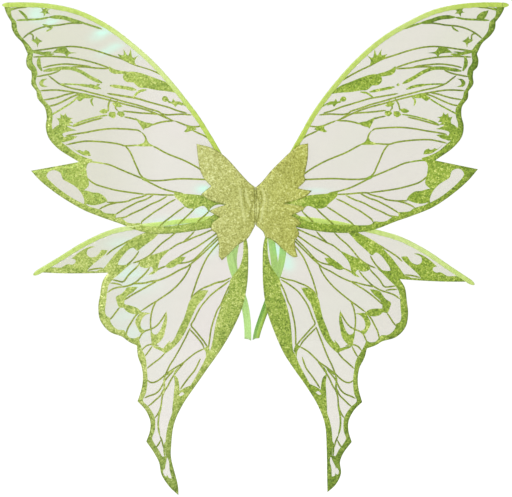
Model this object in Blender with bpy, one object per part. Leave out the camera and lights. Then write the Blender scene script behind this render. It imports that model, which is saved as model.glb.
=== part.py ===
"""Fairy wings worn on the back: two wing halves that fold together about a centre seam, and two elastic straps.

Run with: blender --background --python part.py

Metres, +Z up. +Y points at the wearer's back, -Y at whoever looks at the decorated side, +X to the right of that
viewer. The origin is the centre of the back pad's rear face. Outlines below are in millimetres, as (x, z) pairs
of the right half; the left half mirrors them. A third entry, CUSP, marks a sharp corner of an outline.
"""

import math

import bmesh
import bpy
from mathutils import Vector

MM = 0.001
CUSP = "cusp"
GAP = 0.3  # clearance between touching pieces

# Layers from front to back, as Y of each layer's middle or of its two faces.
COVER_FRONT_Y = (-16.0, -14.5)
UPPER_PLANE_Y = -12.0
LOWER_PLANE_Y = -9.0
LINING_Y = (-6.3, -5.3)
YOKE_Y = (-5.0, -4.2)
PAD_Y = (-3.9, 0.0)

FILM_THICKNESS = 0.8
WIRE_RADIUS = 1.2
BINDING_WIDTH = 7.8
BINDING_BULGE = 2.1  # half the binding's thickness over its wire
BINDING_WALL = 0.6
BINDING_FLANGE = 1.3  # half the binding's thickness over the film
FILM_INSET = 4.9  # how far the film's edge lies inside the binding's outer edge
STRAP_WIDTH = 11.0
STRAP_THICKNESS = 1.0

PAD_SIZE = (36.0, 52.0)
YOKE_SIZE = (64.0, 52.0)
WEB_THICKNESS = 1.0
WEB_HEIGHT = 58.0
SEAM_X = 1.0  # each half's inner edge, and its hinge line
CLAMP_BOX = ((5.0, 20.0), (-13.9, -6.9), (-14.0, 20.0))
BINDING_START = {"upper": 66.0, "lower": 42.0}  # how far from the origin each binding begins, under the cover
CAP_LENGTH = {"upper": 10.0, "lower": 12.0}
CAP_RINGS = ((0, 1), (0.45, 0.9), (0.8, 0.62), (1, 0.25))  # how far along the cap, and its size there
WIRE_END = 2.0  # from the binding's end back to the wire's end
FILM_END = 1.5  # from the binding's end back to where the film's edge leaves it

# How far apart the points of each curve are.
LEADING_STEP, FREE_EDGE_STEP, COVER_STEP, LINING_STEP, STRAP_STEP = 15.0, 9.0, 12.0, 14.0, 9.0

# The lower left wing stands this much higher than the lower right one, away from the root.
LEFT_LIFT = math.radians(2.5)
LIFT_START, LIFT_FULL = 80.0, 230.0

# The binding's outer line, from the root clamp to the tip.
UPPER_LEADING = [
    (14, 12), (26, 32), (40, 58), (55, 86), (70, 112.5), (90, 147.5), (120, 188.5), (160, 233),
    (200, 267), (240, 291), (280, 309.5), (320, 318.5), (360, 321.5), (400, 321),
]
LOWER_LEADING = [
    (14, -4), (34, -9), (57, -13.5), (85, -17.5), (120, -22), (155, -29), (195, -38), (230, -48.5),
    (270, -69), (310, -96), (348, -121),
]
# The film's free edge, from the binding's end at the tip round to the root.
UPPER_FREE_EDGE = [
    (390.5, 312, CUSP), (388.5, 304), (385, 298), (379, 290.5, CUSP), (378, 280), (371, 269), (358, 257),
    (349.5, 240, CUSP), (352, 230), (350, 219), (344, 213, CUSP), (343, 204), (344, 193), (336, 181, CUSP),
    (335, 170), (326, 157), (325, 142), (328.5, 127), (326, 110), (313, 93), (284, 72, CUSP), (310, 66.5),
    (351, 58, CUSP), (335, 39.5), (310, 18), (280, -2), (250, -14.5), (220, -25), (190, -36.5),
    (165, -41.5), (130, -42.5), (100, -40), (75, -35.5), (45, -30, CUSP), (30, -8), (30, 20), (38, 42),
]
LOWER_FREE_EDGE = [
    (332.5, -119.2, CUSP), (300, -119.5), (265, -118), (228, -115.5, CUSP), (236, -129), (239, -150),
    (241, -170), (237, -191), (222, -207), (200, -214), (190, -220), (176, -225, CUSP), (172, -240),
    (164, -256), (161.5, -276), (163.5, -292), (168.5, -309.5, CUSP), (156, -322), (147, -340),
    (147, -356), (152, -372.5, CUSP), (139, -390), (133.5, -404), (135, -422), (127, -439),
    (113.5, -451.5, CUSP), (113, -425), (112.5, -385), (109.5, -344), (98, -314), (81, -286), (62, -259),
    (45, -233), (31, -202), (18, -165), (12.5, -130), (11.2, -90), (12.8, -58), (20, -36, CUSP), (30, -20),
]
COVER_RIGHT = [
    (1, 30, CUSP), (10, 38), (25, 56), (40, 71), (57, 87), (70, 96), (83, 98.5, CUSP), (82.5, 76),
    (77, 47, CUSP), (79, 41), (67, 28, CUSP), (76, 26), (89, 24, CUSP), (79, 14.5), (62, 8.5),
    (46, 4, CUSP), (61, 2), (79, -2, CUSP), (74, -7), (57, -15, CUSP), (67, -21), (72, -28, CUSP),
    (64, -33, CUSP), (69, -44), (62, -54, CUSP), (63, -67), (66.5, -80, CUSP), (60, -81), (45, -70),
    (28, -55), (15, -49, CUSP), (12, -41), (1, -31, CUSP),
]
COVER_LEFT = [
    (1, 30, CUSP), (10, 37), (25, 53), (40, 70), (53, 82), (70, 92), (93, 98, CUSP), (91, 78),
    (88, 57, CUSP), (81, 43), (70, 31, CUSP), (78, 25), (86, 18, CUSP), (72, 9), (47, 2, CUSP), (62, -3),
    (74, -8, CUSP), (57, -18, CUSP), (68, -27), (70, -38, CUSP), (62, -43, CUSP), (58, -58),
    (58, -79, CUSP), (53, -86, CUSP), (43, -77), (28, -62), (13, -52), (1, -32, CUSP),
]
# Each strap as (x, y, z) along its middle: down from the yoke's top corner, round its loop and up to the lower
# corner. The straps differ a little, because each hangs as it fell.
STRAP_RIGHT = [
    (26, -3.4, 22), (26.5, -3.4, 11), (30, -3.2, -1), (35.8, -2.8, -16), (39.5, -2, -31), (42.5, -1, -49),
    (43.5, 0, -68), (40.5, 1.2, -90), (34, 3, -112), (26.5, 4.5, -133), (17.5, 5.5, -156), (9, 6.5, -180),
    (2.5, 7, -200), (0.5, 10.8, -210), (3.2, 14.4, -199), (10, 14, -179), (19, 13, -155), (27, 11, -131),
    (31, 8.5, -108), (29.5, 5.5, -86), (26.5, 2, -64), (24, -1.4, -43), (23.5, -3.4, -26), (23.5, -3.4, -17),
]
STRAP_LEFT = [
    (-26, -3.4, 22), (-26.5, -3.4, 11), (-30, -3.2, -1), (-35.8, -2.8, -16), (-39, -2, -31),
    (-41, -1, -49), (-41.5, 0, -68), (-38.5, 1.2, -90), (-32.5, 3, -110), (-25, 4.5, -130),
    (-17.5, 5.5, -152), (-13.2, 6.5, -177), (-12, 7, -200), (-12, 10.8, -211), (-12.2, 14.4, -199),
    (-14, 14, -176), (-19, 13, -150), (-26.5, 11, -127), (-32.5, 8.5, -106), (-35, 5.8, -86),
    (-32, 2.8, -64), (-26, -1.2, -43), (-23.5, -3.4, -26), (-23.5, -3.4, -17),
]

COLOURS = {  # base colour, roughness, metallic
    "film": ((0.88, 0.86, 0.84), 0.15, 0.0),
    "binding": ((0.62, 0.80, 0.20), 0.35, 0.0),
    "glitter_cover": ((0.55, 0.58, 0.18), 0.55, 0.3),
    "lining": ((0.45, 0.60, 0.20), 0.80, 0.0),
    "elastic": ((0.30, 0.75, 0.25), 0.70, 0.0),
    "steel_wire": ((0.60, 0.60, 0.60), 0.35, 1.0),
    "clamp": ((0.70, 0.70, 0.72), 0.40, 1.0),
    "pad": ((0.35, 0.55, 0.18), 0.85, 0.0),
}


# ---------------------------------------------------------------------------------------- curves


def smooth_run(points, spacing):
    """Points along a centripetal Catmull-Rom curve through these points, about one per spacing."""
    points = [Vector(p) for p in points]
    ends = [2 * points[0] - points[1], *points, 2 * points[-1] - points[-2]]
    run = [points[0]]
    for p0, p1, p2, p3 in zip(ends, ends[1:], ends[2:], ends[3:]):
        steps = max(1, round((p2 - p1).length / spacing))
        t0, t1 = 0.0, (p1 - p0).length ** 0.5
        t2 = t1 + (p2 - p1).length ** 0.5
        t3 = t2 + (p3 - p2).length ** 0.5
        for step in range(1, steps + 1):
            t = t1 + (t2 - t1) * step / steps
            a1 = ((t1 - t) * p0 + (t - t0) * p1) / (t1 - t0)
            a2 = ((t2 - t) * p1 + (t - t1) * p2) / (t2 - t1)
            a3 = ((t3 - t) * p2 + (t - t2) * p3) / (t3 - t2)
            b1 = ((t2 - t) * a1 + (t - t0) * a2) / (t2 - t0)
            b2 = ((t3 - t) * a2 + (t - t1) * a3) / (t3 - t1)
            run.append(((t2 - t) * b1 + (t - t1) * b2) / (t2 - t1))
    return run


def outline(points, spacing):
    """Points along an open outline that is smooth between its cusps."""
    traced, run = [], []
    for point in points:
        run.append(point[:2])
        if len(point) == 3 and len(run) > 1:
            traced += smooth_run(run, spacing)[:-1]
            run = [point[:2]]
    traced += smooth_run(run, spacing) if len(run) > 1 else [Vector(run[0])]
    return traced


def normals(line):
    """Each point's unit normal in the plane, to the right of the way the line runs."""
    found = []
    for i in range(len(line)):
        along = line[min(i + 1, len(line) - 1)] - line[max(i - 1, 0)]
        found.append(Vector((along.y, -along.x)).normalized())
    return found


def inward(line, distance):
    """The line moved to its right, which is into the wing on a leading edge that runs from root to tip."""
    return [p + n * distance for p, n in zip(line, normals(line))]


def shortened(line, distance):
    """The line without its last stretch of this length."""
    left = list(line)
    while (left[-1] - left[-2]).length <= distance:
        distance -= (left[-1] - left[-2]).length
        left.pop()
    left[-1] = left[-1] + (left[-2] - left[-1]).normalized() * distance
    return left


def lifted(point):
    """A point of the lower wing on the left. It stands higher, turned about the root, and its tail hangs further out
    and down, with the tip bent inwards."""
    angle = LEFT_LIFT * ease((point.length - LIFT_START) / (LIFT_FULL - LIFT_START))
    turn_x, turn_z = math.cos(angle), math.sin(angle)
    tip = ease((-point.y - 385) / 65)
    outward = 4.5 * ease((-point.y - 200) / 60) - 16 * tip
    down = 6.5 * ease((-point.y - 190) / 70) * ease((point.x - 30) / 60) + 3.5 * tip
    return Vector((point.x * turn_x - point.y * turn_z + outward, point.x * turn_z + point.y * turn_x - down))


def ease(value):
    value = min(1.0, max(0.0, value))
    return value * value * (3 - 2 * value)


def spread(point):
    """A point of the upper film's free edge on the left: its outer half sits further out, its lower edge lower."""
    high = ease((point.y - 100) / 90)
    outward = 10 * high * ease((point.x - 60) / 160) * (1 - ease((point.x - 350) / 70))
    low = (1 - high) * ease((point.x - 100) / 80)
    outward += low * (3 * ease((point.x - 320) / 30) - 5 * (1 - ease((point.x - 280) / 50)))
    return Vector((point.x + outward, point.y - 2.5 * low))


def drawn_in(point):
    """A point of the upper leading edge on the left, where its lower half runs a little further in."""
    inset = 3.7 * ease((point.x - 60) / 50) * (1 - ease((point.x - 185) / 60))
    return Vector((point.x + 0.74 * inset, point.y - 0.67 * inset))


# ---------------------------------------------------------------------------------------- pieces


def material(name):
    found = bpy.data.materials.get(name)
    if found is None:
        colour, roughness, metallic = COLOURS[name]
        found = bpy.data.materials.new(name)
        found.use_nodes = True
        shader = found.node_tree.nodes["Principled BSDF"]
        shader.inputs["Base Color"].default_value = (*colour, 1)
        shader.inputs["Roughness"].default_value = roughness
        shader.inputs["Metallic"].default_value = metallic
    return found


def add_object(name, mesh_data, finish, parent, side=1):
    """Links the mesh as a node. A left piece, with side -1, is mirrored here; a parent's place is taken off."""
    mesh = bpy.data.meshes.new(name)
    for vertex in mesh_data.verts:
        vertex.co = Vector((vertex.co.x * side, vertex.co.y, vertex.co.z)) * MM
    mesh_data.normal_update()
    bmesh.ops.recalc_face_normals(mesh_data, faces=mesh_data.faces)
    if parent is not None:
        bmesh.ops.translate(mesh_data, vec=-parent.location, verts=mesh_data.verts)
    mesh_data.to_mesh(mesh)
    mesh_data.free()
    mesh.materials.append(material(finish))
    mesh.shade_smooth()
    mesh.set_sharp_from_angle(angle=math.radians(40))
    piece = bpy.data.objects.new(name, mesh)
    bpy.context.scene.collection.objects.link(piece)
    piece.parent = parent
    return piece


def sheet(line, y_faces):
    """A flat plate with this closed outline, between two values of Y."""
    data = bmesh.new()
    front, back = y_faces
    face = data.faces.new([data.verts.new((p.x, front, p.y)) for p in line])
    extruded = bmesh.ops.extrude_face_region(data, geom=[face])
    raised = [v for v in extruded["geom"] if isinstance(v, bmesh.types.BMVert)]
    bmesh.ops.translate(data, vec=(0, back - front, 0), verts=raised)
    bmesh.ops.triangulate(data, faces=data.faces)
    return data


def swept(rings):
    """A closed body through rings of equally many points, with flat ends."""
    data = bmesh.new()
    loops = [[data.verts.new(p) for p in ring] for ring in rings]
    count = len(loops[0])
    for first, second in zip(loops, loops[1:]):
        for i in range(count):
            j = (i + 1) % count
            data.faces.new((first[i], first[j], second[j], second[i]))
    ends = [data.faces.new(loops[0][::-1]), data.faces.new(loops[-1])]
    bmesh.ops.triangulate(data, faces=ends)
    return data


def ring_on(point, normal, y, profile):
    """A profile of (inward, back) points set square to a line that runs in a plane of constant Y."""
    return [(point.x + u * normal.x, y + v, point.y + u * normal.y) for u, v in profile]


def rings_along(middle, line, y, profile):
    """The profile at each point of the middle line, square to the line that it runs beside."""
    return [ring_on(p, n, y, profile) for p, n in zip(middle, normals(line))]


def round_profile(radius, sides=8):
    turns = [2 * math.pi * (i + 0.5) / sides for i in range(sides)]
    return [(radius * math.cos(a), radius * math.sin(a)) for a in turns]


def binding_profile():
    """The folded ribbon's section: round over the wire, then two flanges that hold the film between them."""
    flange_end = BINDING_WIDTH - BINDING_BULGE
    bore = BINDING_BULGE - BINDING_WALL
    slot = BINDING_FLANGE - BINDING_WALL
    arc = [math.radians(a) for a in (90, 135, 180, 225, 270)]
    outer = [(BINDING_BULGE * math.cos(a), BINDING_BULGE * math.sin(a)) for a in arc]
    inner = [(bore * math.cos(a), bore * math.sin(a)) for a in reversed(arc)]
    upper_lip = [(flange_end, BINDING_FLANGE), (1.9, BINDING_FLANGE)]
    lower_lip = [(1.9, -BINDING_FLANGE), (flange_end, -BINDING_FLANGE)]
    slot_in = [(flange_end, -slot), (1.6, -slot)]
    slot_out = [(1.6, slot), (flange_end, slot)]
    return upper_lip + outer + lower_lip + slot_in + inner + slot_out


def cap_profile(scale):
    """The binding's outer section without its slot, shrunk towards its middle."""
    middle = BINDING_WIDTH / 2 - BINDING_BULGE
    around = [
        (BINDING_BULGE * math.cos(math.radians(a)), BINDING_BULGE * math.sin(math.radians(a)))
        for a in (90, 135, 180, 225, 270)
    ]
    flange_end = BINDING_WIDTH - BINDING_BULGE
    section = [(flange_end, BINDING_FLANGE), *around, (flange_end, -BINDING_FLANGE)]
    return [(middle + (u - middle) * scale, v * scale) for u, v in section]


def box(low, high):
    data = bmesh.new()
    bmesh.ops.create_cube(data, size=1)
    for vertex in data.verts:
        vertex.co = [
            (a + b) / 2 + c * (b - a) for a, b, c in zip(low, high, vertex.co)
        ]
    return data


def ribbon(route):
    """A flat strap along a route in space, its width across the wearer's back where the route lets it."""
    middle = smooth_run(route, STRAP_STEP)
    rings = []
    for i, point in enumerate(middle):
        along = (middle[min(i + 1, len(middle) - 1)] - middle[max(i - 1, 0)]).normalized()
        across = (Vector((1, 0, 0)) - along * along.x).normalized()
        out = across.cross(along).normalized()
        half_width, half_thickness = across * STRAP_WIDTH / 2, out * STRAP_THICKNESS / 2
        rings.append(
            [
                point - half_width - half_thickness,
                point + half_width - half_thickness,
                point + half_width + half_thickness,
                point - half_width + half_thickness,
            ]
        )
    return swept(rings)


# ---------------------------------------------------------------------------------------- one wing


def leading_parts(prefix, suffix, side, hinge, line, plane_y):
    """The wire, its binding and the tip cap of one wing, and the film's edge in the binding's slot."""
    cap_length = CAP_LENGTH[prefix]
    sleeved = shortened(line, cap_length)
    covered = next(i for i, p in enumerate(line) if p.length > BINDING_START[prefix])

    wired = shortened(line, cap_length + WIRE_END)
    wire_line = inward(wired, BINDING_BULGE)
    wire = rings_along(wire_line, wired, plane_y, round_profile(WIRE_RADIUS))
    add_object(f"{prefix}_wire_{suffix}", swept(wire), "steel_wire", hinge, side)
    sleeve = rings_along(inward(sleeved, BINDING_BULGE), sleeved, plane_y, binding_profile())
    add_object(f"{prefix}_binding_{suffix}", swept(sleeve[covered:]), "binding", hinge, side)

    start = inward(sleeved, BINDING_BULGE)[-1]
    along = (sleeved[-1] - sleeved[-2]).normalized()
    tip_normal = Vector((along.y, -along.x))
    length = (line[-1] - sleeved[-1]).length - GAP
    cap = [
        ring_on(start + along * (GAP + length * t), tip_normal, plane_y, cap_profile(scale))
        for t, scale in CAP_RINGS
    ]
    add_object(f"{prefix}_tip_cap_{suffix}", swept(cap), "binding", hinge, side)
    return inward(shortened(line, cap_length + FILM_END), FILM_INSET)[covered:]


def film(name, side, hinge, film_edge, free_edge, plane_y, place_tip, place):
    """A wing's film. The free edge's first point goes with the tip cap beside it, and the others are placed."""
    half = FILM_THICKNESS / 2
    tip, *others = outline(free_edge, FREE_EDGE_STEP)
    edge = [place_tip(tip), *(place(p) for p in others)]
    data = sheet(film_edge + edge, (plane_y - half, plane_y + half))
    add_object(name, data, "film", hinge, side)


def as_drawn(point):
    return point


def wing(suffix, side, hinge, cover_points, place_upper_leading, place_upper_film, place_lower):
    wires = []
    rows = (
        ("upper", UPPER_LEADING, UPPER_FREE_EDGE, UPPER_PLANE_Y, place_upper_leading, place_upper_film),
        ("lower", LOWER_LEADING, LOWER_FREE_EDGE, LOWER_PLANE_Y, place_lower, place_lower),
    )
    for prefix, leading, free_edge, plane_y, place_leading, place_edge in rows:
        line = [place_leading(p) for p in smooth_run(leading, LEADING_STEP)]
        film_edge = leading_parts(prefix, suffix, side, hinge, line, plane_y)
        film(f"{prefix}_film_{suffix}", side, hinge, film_edge, free_edge, plane_y, place_leading, place_edge)
        wires.append((line[:4], plane_y))

    cover_line = outline(cover_points, COVER_STEP)
    add_object(f"cover_front_{suffix}", sheet(cover_line, COVER_FRONT_Y), "glitter_cover", hinge, side)
    add_object(f"cover_lining_{suffix}", sheet(lining_line(), LINING_Y), "lining", hinge, side)
    add_clamp(suffix, side, hinge, wires)


def lining_line():
    """The lining is a plain leaf behind the cover, inside its points."""
    corners = [
        (SEAM_X, 25, CUSP), (22, 46), (52, 76, CUSP), (66, 74, CUSP), (62, 40), (42, 10, CUSP), (42, -8, CUSP),
        (54, -34), (54, -62, CUSP), (40, -60), (20, -42), (SEAM_X, -26, CUSP),
    ]
    return outline(corners, LINING_STEP)


def add_clamp(suffix, side, hinge, wires):
    """The root plate that both wires end in. The bores are cut with a thicker copy of each wire."""
    (x_low, x_high), (y_low, y_high), (z_low, z_high) = CLAMP_BOX
    clamp = add_object(
        f"wire_clamp_{suffix}", box((x_low, y_low, z_low), (x_high, y_high, z_high)), "clamp", hinge, side
    )
    for line, plane_y in wires:
        line[0] -= (line[1] - line[0]).normalized() * GAP
        profile = round_profile(WIRE_RADIUS + GAP)
        rings = rings_along(inward(line, BINDING_BULGE), line, plane_y, profile)
        cutter = add_object(f"{clamp.name}_bore", swept(rings), "clamp", hinge, side)
        cutter.hide_render = True
        cutter.display_type = "WIRE"
        bore = clamp.modifiers.new("wire_bore", "BOOLEAN")
        bore.object = cutter
        bore.operation = "DIFFERENCE"


def hinge_at(name, x):
    """The seam line that one half turns about: at the front, where the two covers are sewn together."""
    empty = bpy.data.objects.new(name, None)
    bpy.context.scene.collection.objects.link(empty)
    empty.location = (x * MM, (COVER_FRONT_Y[0] - GAP) * MM, 0)
    return empty


# ---------------------------------------------------------------------------------------- the object


def centre():
    """What the wearer's back and shoulders meet: the pad, the yoke with its two straps, and the seam web."""
    pad_x, pad_z = PAD_SIZE[0] / 2, PAD_SIZE[1] / 2
    yoke_x, yoke_z = YOKE_SIZE[0] / 2, YOKE_SIZE[1] / 2
    add_object("back_pad", box((-pad_x, PAD_Y[0], -pad_z), (pad_x, PAD_Y[1], pad_z)), "pad", None)
    add_object("strap_yoke", box((-yoke_x, YOKE_Y[0], -yoke_z), (yoke_x, YOKE_Y[1], yoke_z)), "lining", None)
    web_x, web_z = WEB_THICKNESS / 2, WEB_HEIGHT / 2
    web = box((-web_x, COVER_FRONT_Y[0], -web_z), (web_x, YOKE_Y[0] - GAP, web_z))
    add_object("seam_web", web, "glitter_cover", None)
    add_object("strap_right", ribbon(STRAP_RIGHT), "elastic", None)
    add_object("strap_left", ribbon(STRAP_LEFT), "elastic", None)


def main():
    for existing in list(bpy.data.objects):
        bpy.data.objects.remove(existing)
    centre()
    wing("right", 1, hinge_at("hinge_right", SEAM_X), COVER_RIGHT, as_drawn, as_drawn, as_drawn)
    wing("left", -1, hinge_at("hinge_left", -SEAM_X), COVER_LEFT, drawn_in, spread, lifted)


main()
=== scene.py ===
"""The looks of the fairy wings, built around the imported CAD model.

Everything is drawn in millimetres on the wearer's back plane, as (x, z) pairs of the right half, and turned
into metres when a mesh is made. -Y is the decorated side. The left half mirrors the right one, apart from
its cover, its strap, a few printed areas and the shifts of spread, drawn_in and lifted. A third entry, CUSP,
marks a sharp corner.
"""

import math

import bmesh
import bpy
import numpy as np
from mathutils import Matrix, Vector
from mathutils.geometry import delaunay_2d_cdt


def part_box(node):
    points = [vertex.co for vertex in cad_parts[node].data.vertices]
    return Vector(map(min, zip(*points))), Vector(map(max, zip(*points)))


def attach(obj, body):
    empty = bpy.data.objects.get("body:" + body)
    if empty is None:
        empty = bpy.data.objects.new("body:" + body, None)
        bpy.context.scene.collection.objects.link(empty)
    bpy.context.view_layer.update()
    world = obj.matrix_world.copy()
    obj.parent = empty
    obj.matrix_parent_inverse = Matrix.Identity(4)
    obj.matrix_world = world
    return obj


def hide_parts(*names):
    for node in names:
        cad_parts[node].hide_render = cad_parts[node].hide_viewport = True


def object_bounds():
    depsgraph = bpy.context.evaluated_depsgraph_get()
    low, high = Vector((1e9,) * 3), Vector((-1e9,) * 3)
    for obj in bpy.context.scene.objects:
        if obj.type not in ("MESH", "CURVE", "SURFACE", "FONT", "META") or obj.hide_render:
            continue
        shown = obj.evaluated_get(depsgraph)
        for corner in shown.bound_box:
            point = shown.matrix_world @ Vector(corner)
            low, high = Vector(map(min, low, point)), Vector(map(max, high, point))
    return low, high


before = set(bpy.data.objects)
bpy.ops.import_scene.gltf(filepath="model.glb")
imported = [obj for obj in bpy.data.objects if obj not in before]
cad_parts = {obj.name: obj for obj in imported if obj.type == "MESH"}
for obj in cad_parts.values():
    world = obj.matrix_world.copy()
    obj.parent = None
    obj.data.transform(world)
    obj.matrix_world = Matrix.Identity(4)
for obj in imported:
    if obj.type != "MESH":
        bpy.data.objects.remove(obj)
cad_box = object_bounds()

MM = 0.001
CUSP = "cusp"
SIDES = {"right": 1, "left": -1}

# ------------------------------------------------------------------------------ the frame's layers


def middle_y(node):
    low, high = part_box(node)
    return (low.y + high.y) / 2 / MM


UPPER_Y = middle_y("upper_film_right")
LOWER_Y = middle_y("lower_film_right")
COVER_FRONT, COVER_BACK = (corner.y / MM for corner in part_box("cover_front_right"))
LINING_FRONT, LINING_BACK = (corner.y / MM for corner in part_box("cover_lining_right"))
BINDING_WIDTH = 7.8
BINDING_BULGE = 2.1
FLANGE = 1.1
FILM_INSET = 4.9
CAP_LENGTH = {"upper": 10.0, "lower": 12.0}
BINDING_START = {"upper": 66.0, "lower": 42.0}
STRAP_WIDTH = 11.0
STRAP_THICKNESS = 1.0
STRAP_CUP = 0.9
STRAP_TWIST = math.radians(16)
FILM_THICKNESS = 0.2
FILM_GRID = 7.0
LEFT_LIFT = math.radians(2.5)
LIFT_START, LIFT_FULL = 80.0, 230.0

# ------------------------------------------------------------------------------ outlines

UPPER_LEADING = [
    (14, 12), (26, 32), (40, 58), (55, 86), (70, 112.5), (90, 147.5), (120, 188.5), (160, 233), (200, 267),
    (240, 291), (280, 309.5), (320, 318.5), (360, 321.5), (400, 321),
]
LOWER_LEADING = [
    (14, -4), (34, -9), (57, -13.5), (85, -17.5), (120, -22), (155, -29), (195, -38), (230, -48.5),
    (270, -69), (310, -96), (348, -121),
]
UPPER_FREE_EDGE = [
    (393, 313.5, CUSP), (390, 306), (385, 298), (379, 290.5, CUSP), (378, 280), (371, 269), (358, 257),
    (349.5, 240, CUSP), (352, 230), (350, 219), (344, 213, CUSP), (343, 204), (344, 193), (336, 181, CUSP),
    (335, 170), (326, 157), (325, 142), (328.5, 127), (326, 110), (313, 93), (284, 72, CUSP), (310, 66.5),
    (351, 58, CUSP), (335, 39.5), (310, 18), (280, -2), (250, -14.5), (220, -25), (190, -36.5), (165, -41.5),
    (130, -42.5), (100, -40), (75, -35.5), (45, -30, CUSP), (30, -8), (30, 20), (38, 42),
]
LOWER_FREE_EDGE = [
    (334, -119.6, CUSP), (300, -119.5), (265, -118), (228, -115.5, CUSP), (236, -129), (239, -150),
    (241, -170), (237, -191), (222, -207), (200, -214), (190, -220), (176, -225, CUSP), (172, -240),
    (164, -256), (161.5, -276), (163.5, -292), (168.5, -309.5, CUSP), (156, -322), (147, -340), (147, -356),
    (152, -372.5, CUSP), (139, -390), (133.5, -404), (135, -422), (127, -439), (113.5, -451.5, CUSP),
    (113, -425), (112.5, -385), (109.5, -344), (98, -314), (81, -286), (62, -259), (45, -233), (31, -202),
    (18, -165), (12.5, -130), (11.2, -90), (12.8, -58), (20, -36, CUSP), (30, -20),
]

COVER_RIGHT = [
    (1, 30, CUSP), (10, 38), (25, 56), (40, 71), (57, 87), (70, 96), (83, 98.5, CUSP), (82.5, 76),
    (77, 47, CUSP), (79, 41), (67, 28, CUSP), (76, 26), (89, 24, CUSP), (79, 14.5), (62, 8.5), (46, 4, CUSP),
    (61, 2), (79, -2, CUSP), (74, -7), (57, -15, CUSP), (67, -21), (72, -28, CUSP), (64, -33, CUSP),
    (69, -44), (62, -54, CUSP), (63, -67), (66.5, -80, CUSP), (60, -81), (45, -70), (28, -55),
    (15, -49, CUSP), (12, -41), (1, -31, CUSP),
]
COVER_LEFT = [
    (1, 30, CUSP), (10, 37), (25, 53), (40, 70), (53, 82), (70, 92), (93, 98, CUSP), (91, 78), (88, 57, CUSP),
    (81, 43), (70, 31, CUSP), (78, 25), (86, 18, CUSP), (72, 9), (47, 2, CUSP), (62, -3), (74, -8, CUSP),
    (57, -18, CUSP), (68, -27), (70, -38, CUSP), (62, -43, CUSP), (58, -58), (58, -79, CUSP), (53, -86, CUSP),
    (43, -77), (28, -62), (13, -52), (1, -32, CUSP),
]
LINING = [
    (1, 25, CUSP), (22, 46), (52, 76, CUSP), (66, 74, CUSP), (62, 40), (42, 10, CUSP), (42, -8, CUSP),
    (54, -34), (54, -62, CUSP), (40, -60), (20, -42), (1, -26, CUSP),
]
# Folds sewn into each front cover: a line, its width and how far it stands up or sinks.
COVER_FOLDS = {
    "right": [
        ([(1.2, 29), (2, 20), (4.5, 10), (6.3, 0), (6.3, -6), (5.5, -12), (3.5, -22), (1.2, -31)], 1.7, -1.1),
        ([(7, 23), (9, 17), (10.5, 10), (9.5, 7), (7.5, 4)], 1.7, -1.0),
        ([(1.8, 10), (3.4, 2), (3.8, -6), (2.6, -18)], 1.7, 0.7),
        ([(10, 27), (13.5, 18), (14.5, 9), (12, 0), (10.5, -12), (8, -24)], 3.0, 0.8),
        ([(18, 22), (20, 6), (18, -12)], 3.5, -0.4),
    ],
    "left": [
        ([(3, 28), (2.2, 20), (1.8, 12)], 1.8, -0.6),
        ([(5, 7), (6, 0), (8, -8), (9, -18)], 3.0, -0.7),
        ([(15.5, 27), (14.5, 18), (12, 8), (8.5, 0)], 2.2, 1.0),
        ([(18.5, 24), (18, 14), (17, 4), (14, -6)], 2.0, -0.9),
        ([(24, 26), (23, 10), (20, -8), (17, -22)], 4.0, 0.6),
        ([(10, 20), (8, 10), (6, 6)], 2.0, -0.4),
    ],
}
# Patches of painted iridescent sheen, in mint, on the film: their middle, half width, half height, slope and
# strength.
MINT_SHEEN = {
    "right": [(34, -68, 14, 12, -0.3, 1.3), (52, -90, 9, 12, 0, 1), (96, 24, 22, 4, 0, 0.7)],
    "left": [
        (345, 302, 13, 11, 0, 1), (322, 291, 14, 6, -0.4, 1), (240, 275, 16, 8, -0.4, 1.4),
        (225, 250, 18, 6, -0.4, 1.4), (185, 239, 9, 5, 0, 1), (200, -112, 34, 22, 0.2, 0.5),
        (66, -62, 12, 14, -0.6, 0.5), (84, -8, 16, 8, 0, 0.9), (80, 26, 12, 6, 0, 1.2),
        (30, -116, 8, 4, -0.5, 1), (200, -185, 30, 30, 0, 0.4), (120, -24, 50, 8, 0, 0.6),
        (205, -60, 30, 14, 0, 0.4),
    ],
}
STRAPS = {
    "right": [
        (26, -3.4, 22), (26.5, -3.4, 11), (30, -3.2, -1), (35.8, -2.8, -16), (39.5, -2, -31), (42.5, -1, -49),
        (43.5, 0, -68), (40.5, 1.2, -90), (34, 3, -112), (26.5, 4.5, -133), (17.5, 5.5, -156), (9, 6.5, -180),
        (2.5, 7, -200), (0.5, 10.8, -210), (3.2, 14.4, -199), (10, 14, -179), (19, 13, -155), (27, 11, -131),
        (31, 8.5, -108), (29.5, 5.5, -86), (26.5, 2, -64), (24, -1.4, -43), (23.5, -3.4, -26),
        (23.5, -3.4, -17),
    ],
    "left": [
        (-26, -3.4, 22), (-26.5, -3.4, 11), (-30, -3.2, -1), (-35.8, -2.8, -16), (-39, -2, -31),
        (-41, -1, -49), (-41.5, 0, -68), (-38.5, 1.2, -90), (-32.5, 3, -110), (-25, 4.5, -130),
        (-17.5, 5.5, -152), (-13.2, 6.5, -177), (-12, 7, -200), (-12, 10.8, -211), (-12.2, 14.4, -199),
        (-14, 14, -176), (-19, 13, -150), (-26.5, 11, -127), (-32.5, 8.5, -106), (-35, 5.8, -86),
        (-32, 2.8, -64), (-26, -1.2, -43), (-23.5, -3.4, -26), (-23.5, -3.4, -17),
    ],
}

# ------------------------------------------------------------------------------ the printed pattern
# "clear" is the film inside the glitter borders; it runs past the leading edge and the root. "holes" are
# clear windows in the print. "blobs" are filled areas. "strokes" are thick lines and "veins" thin ones, by
# width.

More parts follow.
